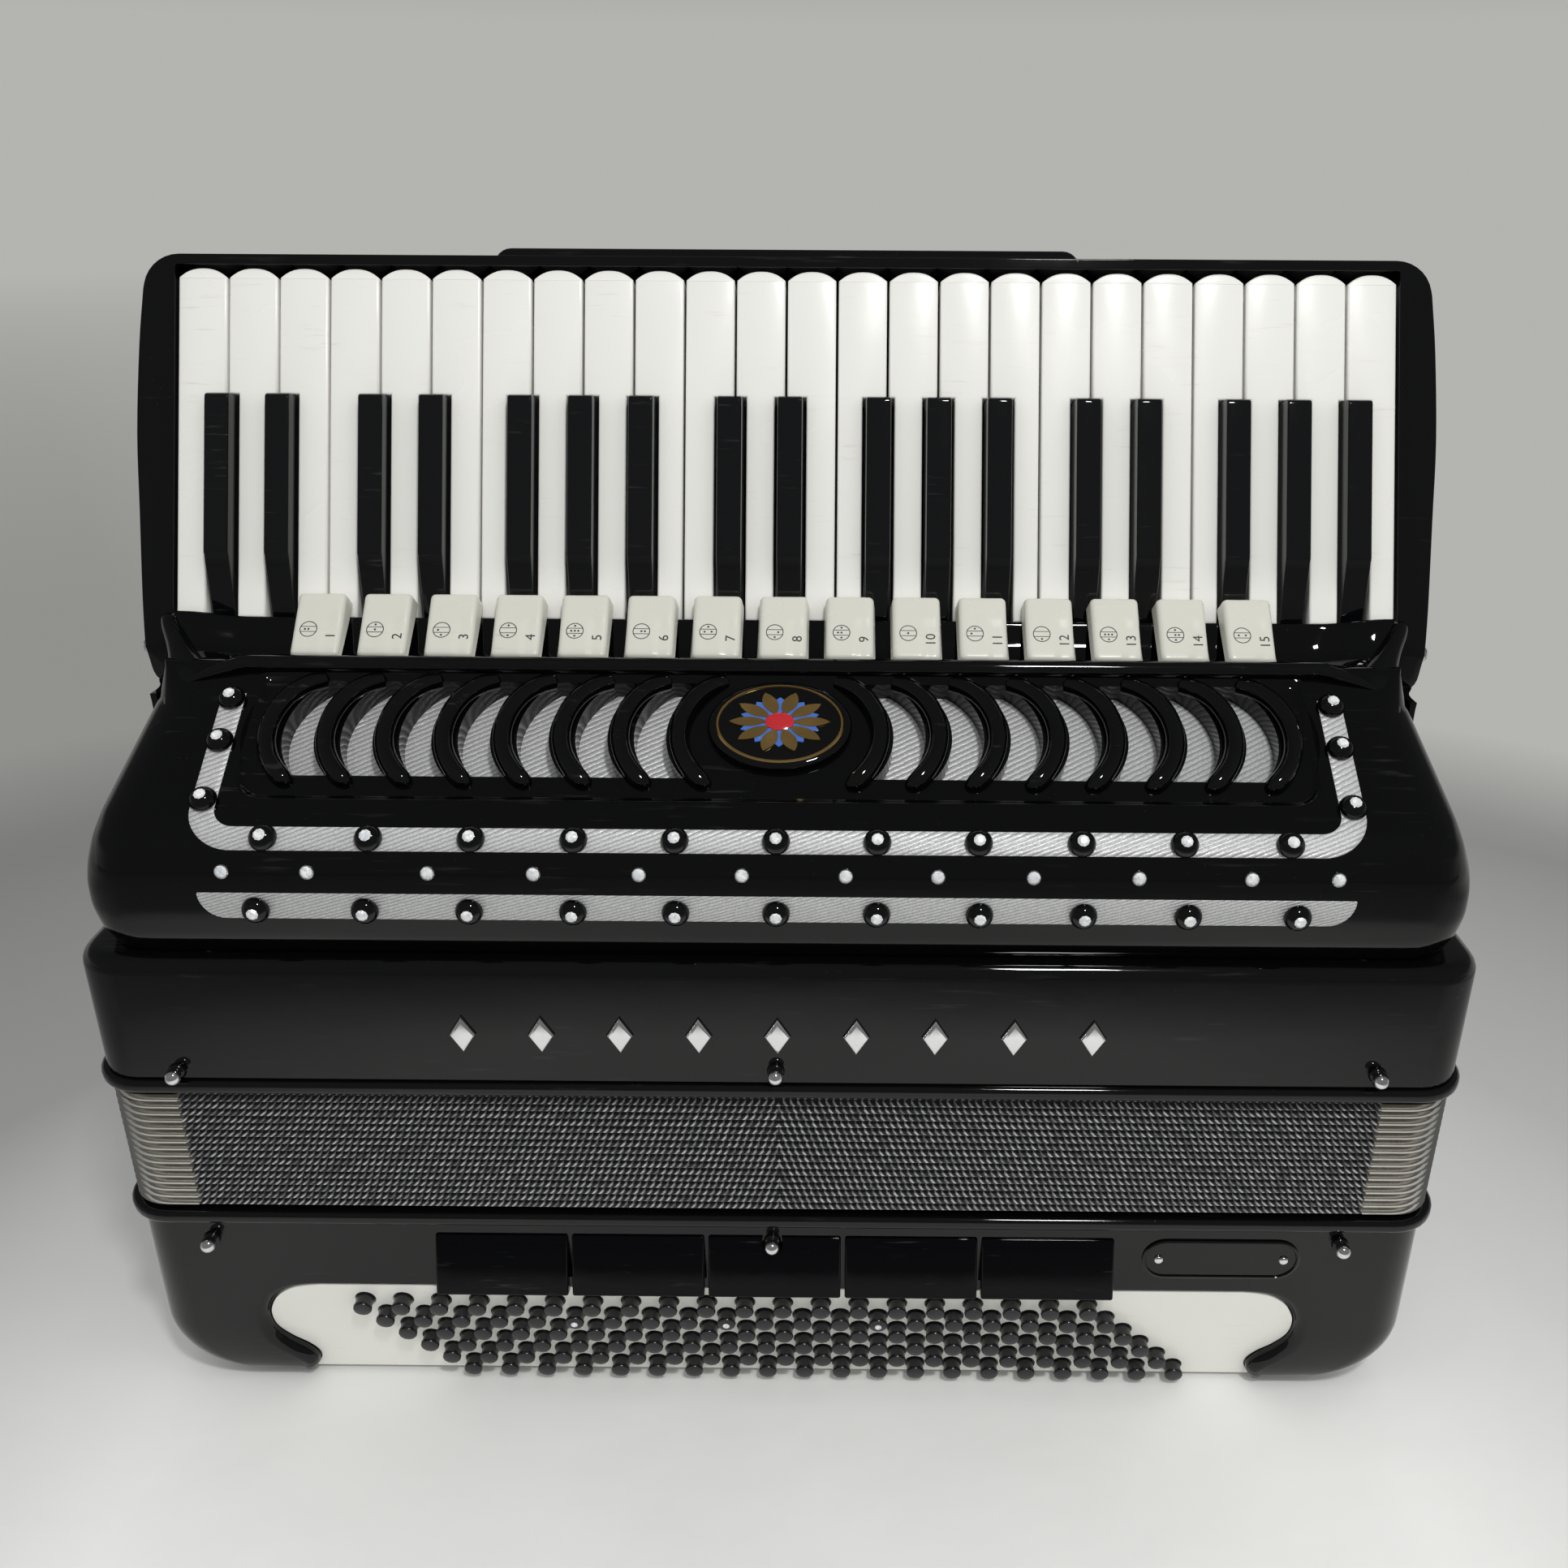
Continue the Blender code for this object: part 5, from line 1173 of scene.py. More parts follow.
cloth_outline = round_rectangle(-198.0 * MM, 198.0 * MM, 20.0 * MM, 72.0 * MM, 3.0 * MM, 3)
cloth = piece("grille_cloth_sheet", [soft_prism(cloth_outline, -11.4 * MM, -10.6 * MM, 0.2 * MM, over_panel)], silver_cloth, "treble", ["grille_cloth"])
print("fins:", 2 * FIN_COUNT)

# %% [markdown]
# ## Register tabs
# Fifteen ivory tabs rock on a rod under the plate. Each is a wedge with soft edges and a sunken step,
# printed with a ring of dots that stands for the reeds it sounds. Here a plain number fills the step.
# The soft block is a grid: near a side its height falls along a quarter circle, and at a corner the
# two falls are combined, which also rounds the corner in plan.

# %% Soft blocks
def joined(*shells):
    """Several skins as one."""
    starts = np.cumsum([0] + [len(shell[0]) for shell in shells])
    faces = [[index + start for index in face] for shell, start in zip(shells, starts) for face in shell[1]]
    return np.concatenate([shell[0] for shell in shells]), faces, None


def span(low, high, edge, inner):
    """Places from low to high, close together in the round edges and even between them."""
    bend = edge * (1 - np.cos(np.linspace(0, np.pi / 2, 5)))
    return np.concatenate([low + bend, np.linspace(low + edge, high - edge, inner)[1:-1], high - bend[::-1]])


def soft_block(left, right, low, high, edge, top, base, placing, inner=6, flare=0.0):
    """A block on a surface: top and base are heights as functions of (x, along), the upper edges are
    quarter circles, and the base may flare out sideways."""
    x, along = np.meshgrid(span(left, right, edge, inner), span(low, high, edge, inner))
    over_x = (np.clip(x - right + edge, 0, None) - np.clip(left + edge - x, 0, None)) / edge
    over_along = (np.clip(along - high + edge, 0, None) - np.clip(low + edge - along, 0, None)) / edge
    reach = np.hypot(over_x, over_along)
    back = 1 - 1 / np.maximum(reach, 1)
    x = x - over_x * edge * back
    along = along - over_along * edge * back
    out = top(x, along) - edge * (1 - np.sqrt(1 - np.minimum(reach, 1) ** 2))
    upper = placing(x, along, out)
    rim = [np.s_[0, :-1], np.s_[:-1, -1], np.s_[-1, :0:-1], np.s_[:0:-1, 0]]
    rim_x = np.concatenate([x[part] for part in rim])
    rim_along = np.concatenate([along[part] for part in rim])
    rim_upper = np.concatenate([upper[part] for part in rim])
    middle = (left + right) / 2
    lower = placing(middle + (rim_x - middle) * (1 + flare), rim_along, base(rim_x, rim_along))
    skirt, faces, no_uv = skin(np.stack([rim_upper, lower]))
    faces.append(list(range(len(rim_x), 2 * len(rim_x))))
    return joined(skin(upper, ring_columns=False), (skirt, faces, None))


# %% Tabs, rod and print
TAB_COUNT = 15
TAB_PITCH = 25.7 * MM
TAB_HALF = 9.3 * MM
TAB_LENGTH = 27.6 * MM
STEP_DEPTH = 0.45 * MM


def tab_top(x, along, middle):
    """The top of a tab: level, with a step sunk in its lower right part."""
    step = smooth_step(x - middle, 1.9 * MM, 2.5 * MM) * smooth_step(17.2 * MM - along, 0.0, 0.7 * MM)
    return -STEP_DEPTH * step


def tab_block(middle):
    """One tab: thin at its foot and thicker towards the keys."""
    return soft_block(
        middle - TAB_HALF, middle + TAB_HALF, 0.0, TAB_LENGTH, 1.9 * MM,
        lambda x, along: tab_top(x, along, middle),
        lambda x, along: (-3.0 - 4.4 * along / TAB_LENGTH) * MM,
        over_tabs, 12, 0.06,
    )


def flat_ring(centre, radius, width, placing, proud):
    """A thin printed ring: a small rectangle turned about the centre."""
    profile = [(radius - width, -0.1 * MM), (radius, -0.1 * MM), (radius, proud), (radius - width, proud)]
    points, faces, no_uv = lathe(profile, centre, placing, 28)
    return skin(points.reshape(4, 28, 3), ring_rows=True)


def dot(centre, radius, placing, proud, sides=10):
    """A small printed disc."""
    return lathe([(radius, -0.1 * MM), (radius, proud)], centre, placing, sides)


def reed_sign(middle, places):
    """A ring crossed by two lines, with a dot for each reed that sounds, as (column, row)."""
    centre = np.array([middle - 3.2 * MM, 11.2 * MM])
    shells = [flat_ring(centre, 3.4 * MM, 0.32 * MM, over_tabs, 0.05 * MM)]
    for row in (-1.1, 1.1):
        reach = math.sqrt(3.3**2 - row**2)
        line = np.array([(-reach, row - 0.13), (reach, row - 0.13), (reach, row + 0.13), (-reach, row + 0.13)]) * MM
        shells.append(carried(centre + line, -0.1 * MM, 0.05 * MM, over_tabs))
    shells += [dot(centre + np.array([1.35 * a, 2.15 * b]) * MM, 0.42 * MM, over_tabs, 0.05 * MM) for a, b in places]
    return shells


def number_shell(text, size, placing):
    """A number as a mesh: Blender's text outline, filled, read off as points and faces, then placed."""
    curve = bpy.data.curves.new("number", "FONT")
    curve.body = text
    curve.size = size
    curve.align_x = "CENTER"
    curve.align_y = "CENTER"
    curve.extrude = 0.06 * MM
    curve.resolution_u = 3
    letter = bpy.data.objects.new("number", curve)
    bpy.context.scene.collection.objects.link(letter)
    bpy.context.view_layer.update()
    mesh = bpy.data.meshes.new_from_object(letter.evaluated_get(bpy.context.evaluated_depsgraph_get()))
    points = np.zeros(len(mesh.vertices) * 3)
    mesh.vertices.foreach_get("co", points)
    faces = [list(polygon.vertices) for polygon in mesh.polygons]
    bpy.data.objects.remove(letter)
    points = points.reshape(-1, 3)
    return placing(points), faces, None


REED_PLACES = ((-1, 0), (0, 0), (1, 0), (0, 1), (0, -1))
tab_middles = (np.arange(TAB_COUNT) - (TAB_COUNT - 1) / 2) * TAB_PITCH
rod_y, rod_z = over_tabs(0.0, 9.0 * MM, -12.0 * MM)[1:]
rod_end = TAB_COUNT / 2 * TAB_PITCH
rod = tube(np.array([(-rod_end, rod_y, rod_z), (0.0, rod_y, rod_z), (rod_end, rod_y, rod_z)]), np.full(3, 2.0 * MM), 12)
stems = [carried(round_rectangle(m - 2 * MM, m + 2 * MM, 7.0 * MM, 11.0 * MM, 0.4 * MM, 2), -12.0 * MM, -2.2 * MM, over_tabs) for m in tab_middles]
tabs = [tab_block(middle) for middle in tab_middles]
piece("register_tabs", [*tabs, rod, *stems], [tab_ivory] * TAB_COUNT + [steel] * (TAB_COUNT + 1), "registers", ["register_switches"], 50.0)
signs = []
for index, middle in enumerate(tab_middles):
    signs += reed_sign(middle, [place for bit, place in enumerate(REED_PLACES) if (index * 7 + 3) >> bit & 1])
    signs.append(number_shell(
        str(index + 1), 5.4 * MM,
        lambda p, middle=middle: over_tabs(middle + 5.6 * MM - p[:, 1], 8.6 * MM + p[:, 0], p[:, 2] - STEP_DEPTH),
    ))
piece("register_print", signs, ink, "registers", sharp=30.0)
print("tabs:", TAB_COUNT, "printed signs:", len(signs))

# %% [markdown]
# ## Bands, knobs, stones and badge
# Trim on the cover: two bands of silver cloth let into the celluloid, black knobs that hold them, each
# with a clear stone, a row of small stones, and an oval badge. The trim is drawn on the cover's own
# section: a place is x and the distance along the section, so a band follows the brow round.

# %% Places on the cover
def on_cover(x, distance, out):
    """A point of the cover's section at a distance along it, moved out along the section's normal."""
    x, distance, out = np.broadcast_arrays(x, distance, out)
    depth_slope = np.interp(distance, fine, np.gradient(fine_depth, fine))
    height_slope = np.interp(distance, fine, np.gradient(fine_height, fine))
    depth = np.interp(distance, fine, fine_depth) - out * height_slope
    height = np.interp(distance, fine, fine_height) + out * depth_slope
    return np.stack([x, FRONT + depth, height], -1)


def flat_on_cover(at):
    """A flat plane that touches the cover at a distance along its section."""
    origin = on_cover(0.0, at, 0.0)
    step = on_cover(0.0, at + 0.5 * MM, 0.0) - on_cover(0.0, at - 0.5 * MM, 0.0)
    step = step / np.linalg.norm(step)
    normal = on_cover(0.0, at, 1.0) - origin
    side = np.array([1.0, 0.0, 0.0])

    def placed(x, distance, out):
        x, distance, out = (value[..., None] for value in np.broadcast_arrays(x, distance, out))
        return origin + x * side + (distance - at) * step + out * normal

    return placed


def at_height(height):
    """The distance along the section where the upright front has a height."""
    return float(np.interp(height, fine_height, fine))


# %% Bands
BAND_HALF = 4.4 * MM
LEG_X = 204.2 * MM
LEG_TOP = PANEL_START + 58.0 * MM
BAND_ROW = PANEL_START - 4.3 * MM
BAND_TURN = 12.5 * MM
BAND_PROFILE = np.array([(-4.4, -0.5), (-4.4, 0.05), (-4.25, 0.18), (-2.0, 0.22), (0.0, 0.22), (2.0, 0.22), (4.25, 0.18), (4.4, 0.05), (4.4, -0.5)]) * MM


def upper_band():
    """The band profile carried down one leg, round a corner, along the brow and up the other leg."""
    leg = np.stack([np.full(14, LEG_X), np.linspace(LEG_TOP, BAND_ROW + BAND_TURN, 14)], -1)
    bend = np.linspace(0, -np.pi / 2, 16)[1:]
    corner = np.array([LEG_X - BAND_TURN, BAND_ROW + BAND_TURN]) + BAND_TURN * np.stack([np.cos(bend), np.sin(bend)], -1)
    right_half = np.concatenate([leg, corner])
    path = np.concatenate([right_half, right_half[::-1] * (-1, 1)])
    heading = np.gradient(path, axis=0)
    heading /= np.linalg.norm(heading, axis=1, keepdims=True)
    across = np.stack([-heading[:, 1], heading[:, 0]], -1)
    place = path[:, None] + BAND_PROFILE[:, 0, None] * across[:, None]
    return skin(on_cover(place[..., 0], place[..., 1], BAND_PROFILE[:, 1]), caps=True)


lower_outline = round_rectangle(-204.5 * MM, 204.5 * MM, at_height(222.6 * MM), at_height(232.8 * MM), (0.6 * MM, 0.6 * MM, 9.6 * MM, 9.6 * MM), 8)
lower_band = soft_prism(lower_outline, -0.4 * MM, 0.22 * MM, 0.15 * MM, on_cover, 2)
piece("silver_bands", [upper_band(), lower_band], silver_cloth, "treble", sharp=50.0)
print("bands: 2")

# %% Knobs and stones
STONE_PROFILE = np.array([(2.05, -0.8), (2.05, 0.1), (1.45, 0.75), (0.9, 0.9)]) * MM
dome = np.linspace(0, np.pi / 2 * 0.74, 7)
KNOB_PROFILE = np.concatenate([
    np.array([(4.2, -0.6), (4.3, 0.3)]) * MM,
    np.stack([5.0 * np.cos(dome), 1.0 + 4.0 * np.sin(dome)], -1) * MM,
])
UPPER_KNOBS = np.array([0.0, 35.5, 71.0, 107.0, 143.0, 180.0]) * MM
LOWER_KNOBS = np.array([0.0, 35.5, 71.8, 108.5, 145.4, 184.0]) * MM
LEG_KNOBS = np.array([10.6, 36.0, 55.0]) * MM
SMALL_STONES = np.array([-194.4, -164.4, -122.1, -85.0, -48.0, -11.9, 24.5, 56.8, 90.3, 127.2, 166.6, 196.9]) * MM


def both_sides(values):
    """The same distances left and right of the middle, with the middle only once."""
    return np.unique(np.concatenate([-values, values]))


knob_places = [(x, BAND_ROW) for x in both_sides(UPPER_KNOBS)]
knob_places += [(x, at_height(226.6 * MM)) for x in both_sides(LOWER_KNOBS)]
knob_places += [(side * LEG_X, PANEL_START + along) for along in LEG_KNOBS for side in (-1, 1)]
KNOB_TOP = KNOB_PROFILE[-1, 1]
knobs = [lathe(KNOB_PROFILE, place, flat_on_cover(place[1]), 18) for place in knob_places]
knob_stones = [lathe(STONE_PROFILE * (1.05, 1.0) + (0.0, KNOB_TOP), place, flat_on_cover(place[1]), 9) for place in knob_places]
piece("band_knobs", knobs, lacquer, "treble", sharp=50.0)
stone_row = at_height(241.0 * MM)
small_places = [(x, stone_row) for x in SMALL_STONES]
rims = [lathe(np.array([(2.7, -0.4), (2.7, 0.5), (2.4, 0.8), (2.0, 0.7)]) * MM, place, flat_on_cover(stone_row), 16) for place in small_places]
small = [lathe(STONE_PROFILE * 1.1 + (0.0, 0.6 * MM), place, flat_on_cover(stone_row), 9) for place in small_places]
piece("knob_stones", [*knob_stones, *small], stone, "treble", sharp=12.0)
piece("stone_rims", rims, chrome, "treble", sharp=50.0)
print("knobs:", len(knobs), "stones:", len(knob_stones) + len(small))

# %% Badge
BADGE_ALONG = 45.0 * MM
BADGE_SIZE = np.array([26.6, 19.6]) * MM
BADGE_FLOOR = -RECESS_DEPTH
turn_round = np.linspace(0, 2 * np.pi, 56, endpoint=False)
oval = np.stack([np.cos(turn_round), np.sin(turn_round)], -1)


def badge_ring(scale, out):
    """An oval ring of the badge at a share of its size and a height above the panel's floor."""
    place = oval * BADGE_SIZE * scale
    return over_panel(place[:, 0], BADGE_ALONG + place[:, 1], BADGE_FLOOR + out)


def badge_skin(profile):
    """Oval rings at (share of the size, height), closed at both ends."""
    return skin(np.stack([badge_ring(scale, out) for scale, out in np.array(profile)]), caps=True)


badge = badge_skin([(1.0, -0.5 * MM), (1.0, 2.2 * MM), (0.985, 3.0 * MM), (0.95, 3.5 * MM), (0.9, 3.7 * MM), (0.6, 4.3 * MM), (0.3, 4.6 * MM)])
badge_rim = skin(np.stack([badge_ring(scale, out) for scale, out in ((0.90, 3.5 * MM), (0.875, 4.2 * MM), (0.85, 4.2 * MM), (0.835, 3.5 * MM))]), ring_rows=True)


def petal(angle, reach, width, low, high, start=0.18):
    """A leaf from near the centre outwards: its half width is the width times the sine of half a turn."""
    share = np.linspace(0, 1, 9)
    along = start + (reach - start) * share
    half = width * np.sin(np.pi * share) ** 0.8
    loop = np.concatenate([np.stack([along, half], -1), np.stack([along, -half], -1)[-2:0:-1]])
    turn = np.array([[math.cos(angle), math.sin(angle)], [-math.sin(angle), math.cos(angle)]])
    loop = loop @ turn * BADGE_SIZE
    return skin(np.stack([
        over_panel(loop[:, 0], BADGE_ALONG + loop[:, 1], BADGE_FLOOR + low),
        over_panel(loop[:, 0] * 0.97, BADGE_ALONG + loop[:, 1] * 0.97, BADGE_FLOOR + high),
    ]), caps=True)


gold_leaves = [petal(angle, 0.72, 0.11, 3.6 * MM, 4.9 * MM) for angle in np.linspace(0, 2 * np.pi, 10, endpoint=False)]
blue_leaves = [petal(angle + np.pi / 10, 0.58, 0.10, 3.6 * MM, 4.7 * MM) for angle in np.linspace(0, 2 * np.pi, 10, endpoint=False)]
red_boss = badge_skin([(0.2, 3.6 * MM), (0.2, 4.9 * MM), (0.15, 5.3 * MM), (0.07, 5.5 * MM)])
piece("badge", [badge, badge_rim, *gold_leaves, *blue_leaves, red_boss], [lacquer, gold] + [gold] * 10 + [blue_enamel] * 10 + [red_enamel], "treble", sharp=40.0)
print("badge with", len(gold_leaves) + len(blue_leaves), "leaves")

# %% [markdown]
# ## Front trim of the cases
# Nine bright lozenges stand where the photograph has lettering. Ball-ended pins hold the bellows frames
# to the cases; a small plate with two screws sits on the bass case, and is left bare.

# %% Lozenges, pins and plate
LOZENGES = 9
LOZENGE_PITCH = 29.0 * MM
LOZENGE_HEIGHT = 175.0 * MM
diamond = np.array([(5.0, 0.0), (0.0, 8.0), (-5.0, 0.0), (0.0, -8.0)]) * MM
places = (np.arange(LOZENGES) - (LOZENGES - 1) / 2) * LOZENGE_PITCH
lozenges = [soft_prism(diamond + (x, LOZENGE_HEIGHT), -0.2 * MM, 1.8 * MM, 1.5 * MM, over_front, 4) for x in places]
piece("front_lozenges", lozenges, chrome, "treble", sharp=25.0)

ball = np.linspace(-0.42 * np.pi, 0.47 * np.pi, 11)
PIN_PROFILE = np.concatenate([
    np.array([(1.5, 0.2), (1.5, 1.2)]) * MM,
    np.stack([3.1 * np.cos(ball), 3.9 + 3.1 * np.sin(ball)], -1) * MM,
])
COLLAR_PROFILE = np.array([(3.4, -0.3), (3.4, 0.4), (3.1, 1.0), (2.6, 1.5), (2.0, 1.8)]) * MM
PIN_PLACES = {
    "treble": np.array([(-224.4, 157.3), (-0.8, 159.5), (222.8, 159.9)]) * MM,
    "bass": np.array([(-224.8, 77.8), (-3.0, 79.0), (220.8, 79.5)]) * MM,
}
for body, pins in PIN_PLACES.items():
    shells = [lathe(profile, pin, face, 18) for face in (over_front, over_back) for profile in (COLLAR_PROFILE, PIN_PROFILE) for pin in pins]
    piece(f"bellows_pins_{body}", shells, ([lacquer] * len(pins) + [chrome] * len(pins)) * 2, body, sharp=50.0)

PLATE_LEFT, PLATE_RIGHT, PLATE_LOW, PLATE_HIGH = (value * MM for value in (143.5, 206.0, 62.0, 81.0))
plate_outline = round_rectangle(PLATE_LEFT, PLATE_RIGHT, PLATE_LOW, PLATE_HIGH, 9.4 * MM, 8)
inner_outline = inset(plate_outline, 1.6 * MM)
rim_loops = np.stack([plate_outline, plate_outline, inset(plate_outline, 0.5 * MM), inset(plate_outline, 1.2 * MM), inner_outline, inner_outline])
rim_levels = np.array([-0.3, 0.7, 1.1, 1.1, 0.6, 0.4])[:, None] * MM
name_plate = skin(over_front(rim_loops[..., 0], rim_loops[..., 1], rim_levels), caps=True)
SCREW_PROFILE = np.array([(1.9, 0.2), (1.9, 0.9), (1.5, 1.4), (0.8, 1.6)]) * MM
screws = [lathe(SCREW_PROFILE, (x, (PLATE_LOW + PLATE_HIGH) / 2), over_front, 14) for x in (PLATE_LEFT + 6.5 * MM, PLATE_RIGHT - 6.5 * MM)]
piece("bare_plate", [name_plate, *screws], [lacquer, chrome, chrome], "bass", sharp=40.0)
print("lozenges:", LOZENGES, "pins:", 12)

# %% [markdown]
# ## Bass side
# The left hand plays 120 buttons in six slanting rows that stand through a pale board. Behind it a web
# joins them in two groups, as in the CAD. A button is a turned peg: a slight waist and a domed end.

# %% Board and buttons
BUTTON_ROWS = 6
BUTTON_COLUMNS = 20
button_row, button_column = np.divmod(np.arange(BUTTON_ROWS * BUTTON_COLUMNS), BUTTON_COLUMNS)
button_x = (-168.6 + 15.4 * button_column + 7.9 * button_row) * MM
button_down = (13.6 + 7.9 * button_row) * MM
BOARD_FACE = 6.0 * MM
BOARD_KNEE = 49.0 * MM
BOARD_LENGTH = 58.0 * MM
board_half = np.array([(211.0 * MM, 0.0), (211.0 * MM, BOARD_KNEE), (188.0 * MM, BOARD_KNEE), (188.0 * MM, BOARD_LENGTH)])
board_outline = np.concatenate([board_half, board_half[::-1] * (-1, 1)])
face_top, face_low = over_board(0.0, np.array([0.0, 1.0]), BOARD_FACE)[:, 2]
face_edge = window_edge - 0.3 * MM * into_case
face_half = np.column_stack([face_edge[:, 0], (face_edge[:, 1] - face_top) / (face_low - face_top)])
face_half = np.concatenate([face_half, [(197.0 * MM, 58.2 * MM)]])
face_outline = np.concatenate([face_half, face_half[:0:-1] * (-1, 1)])
board = piece("pale_board", [carried(board_outline, -4.0 * MM, 0.0, over_board)], board_white, "bass", ["button_board"])
board_face = piece("board_face", [carried(face_outline, -0.5 * MM, BOARD_FACE, over_board)], board_white, "bass")
hole = np.array([(4.3, -8.0), (4.3, 12.0)]) * MM
for target in (board, board_face):
    carve(target, [lathe(hole, place, over_board, 16) for place in zip(button_x, button_down)])

BUTTON_PROFILE = np.array([
    (3.4, -6.0), (3.4, 6.5), (3.5, 9.4), (3.8, 10.3), (3.8, 10.9), (3.5, 11.4), (2.6, 11.7), (1.2, 11.8),
]) * MM
for name, body, rows in (("bass_note_buttons", "bass_notes", (0, 1)), ("chord_buttons", "chords", (2, 3, 4, 5))):
    chosen = np.isin(button_row, rows)
    centres = list(zip(button_x[chosen], button_down[chosen]))
    margin = 3.9 * MM
    web = round_rectangle(
        button_x[chosen].min() - margin, button_x[chosen].max() + margin,
        button_down[chosen].min() - margin, button_down[chosen].max() + margin, 1.0 * MM, 2,
    )
    shells = [lathe(BUTTON_PROFILE, centre, over_board, 12) for centre in centres]
    shells.append(carried(web, -6.3 * MM, -4.3 * MM, over_board))
    piece(f"{name}_pegs", shells, [button_black] * len(centres) + [dull_black], body, [name], 40.0)
marked = [(x, d) for x, d, r, c in zip(button_x, button_down, button_row, button_column) if r == 1 and c in (5, 9, 13)]
marks = [lathe(np.array([(1.4, 11.5), (1.4, 12.0), (0.9, 12.3)]) * MM, place, over_board, 10) for place in marked]
piece("marked_buttons", marks, stone, "bass_notes", sharp=20.0)
print("buttons:", len(button_x))

# %% Register bars and air button
BAR_COUNT = 5
BAR_PITCH = 53.9 * MM
BAR_CENTRE = -2.1 * MM
BAR_TOP = np.array([-0.8, 81.4]) * MM
BAR_FOOT = np.array([-8.4, 57.2]) * MM
bar_lean = math.degrees(math.atan2(*(BAR_FOOT - BAR_TOP)))
BAR_LENGTH = float(np.linalg.norm(BAR_FOOT - BAR_TOP))
over_bars = leaning(BAR_TOP, bar_lean, -1.0)
bar_middles = BAR_CENTRE + (np.arange(BAR_COUNT) - (BAR_COUNT - 1) / 2) * BAR_PITCH
bar_half = BAR_PITCH / 2 - 0.8 * MM
bars = [
    soft_block(
        middle - bar_half, middle + bar_half, 0.0, BAR_LENGTH, 0.9 * MM,
        lambda x, along: 0.35 * MM * np.sin(np.pi * along / BAR_LENGTH),
        lambda x, along: (-0.9 - 3.9 * along / BAR_LENGTH) * MM,
        over_bars, 8,
    )
    for middle in bar_middles
]
hinge_y, hinge_z = FRONT + 2.5 * MM, 79.0 * MM
hinge_end = BAR_COUNT * BAR_PITCH / 2
hinge = tube(np.array([(BAR_CENTRE + s * hinge_end, hinge_y, hinge_z) for s in (-1.0, 0.0, 1.0)]), np.full(3, 1.9 * MM), 12)
register_bars = piece("register_bars", [*bars, hinge], [bar_black] * BAR_COUNT + [steel], "bass_registers", ["bass_register_bars"], 50.0)
pin_hole = np.array([(4.3, -0.2), (4.3, 12.0)]) * MM
carve(register_bars, [lathe(pin_hole, PIN_PLACES["bass"][1], over_front, 24)])
AIR_PROFILE = np.array([(5.0, -17.0), (7.5, -17.0), (7.5, -5.5), (5.0, -5.5), (5.0, 3.2), (4.6, 4.3), (3.6, 4.9), (1.5, 5.1)]) * MM
piece("air_peg", [lathe(AIR_PROFILE, AIR_CENTRE, over_back, 24)], button_black, "air", ["air_button"], 50.0)
print("bars:", BAR_COUNT)

# %% [markdown]
# ## Studio
# The instrument stands on a white cloth in a grey room. Black lacquer shows whatever is around it, so
# the room matters as much as the paint: a pale horizon, a dim ceiling, floor that turns dark in front after
# half a metre, and one small soft lamp whose reflections are the thin bright lines on the edges. The floor's
# colour also holds painted shade: duller round the instrument, darker further out and on the left.

# %% Floor
FLOOR_REACH = 14.0
ROOM_GREY = (0.455, 0.46, 0.435)


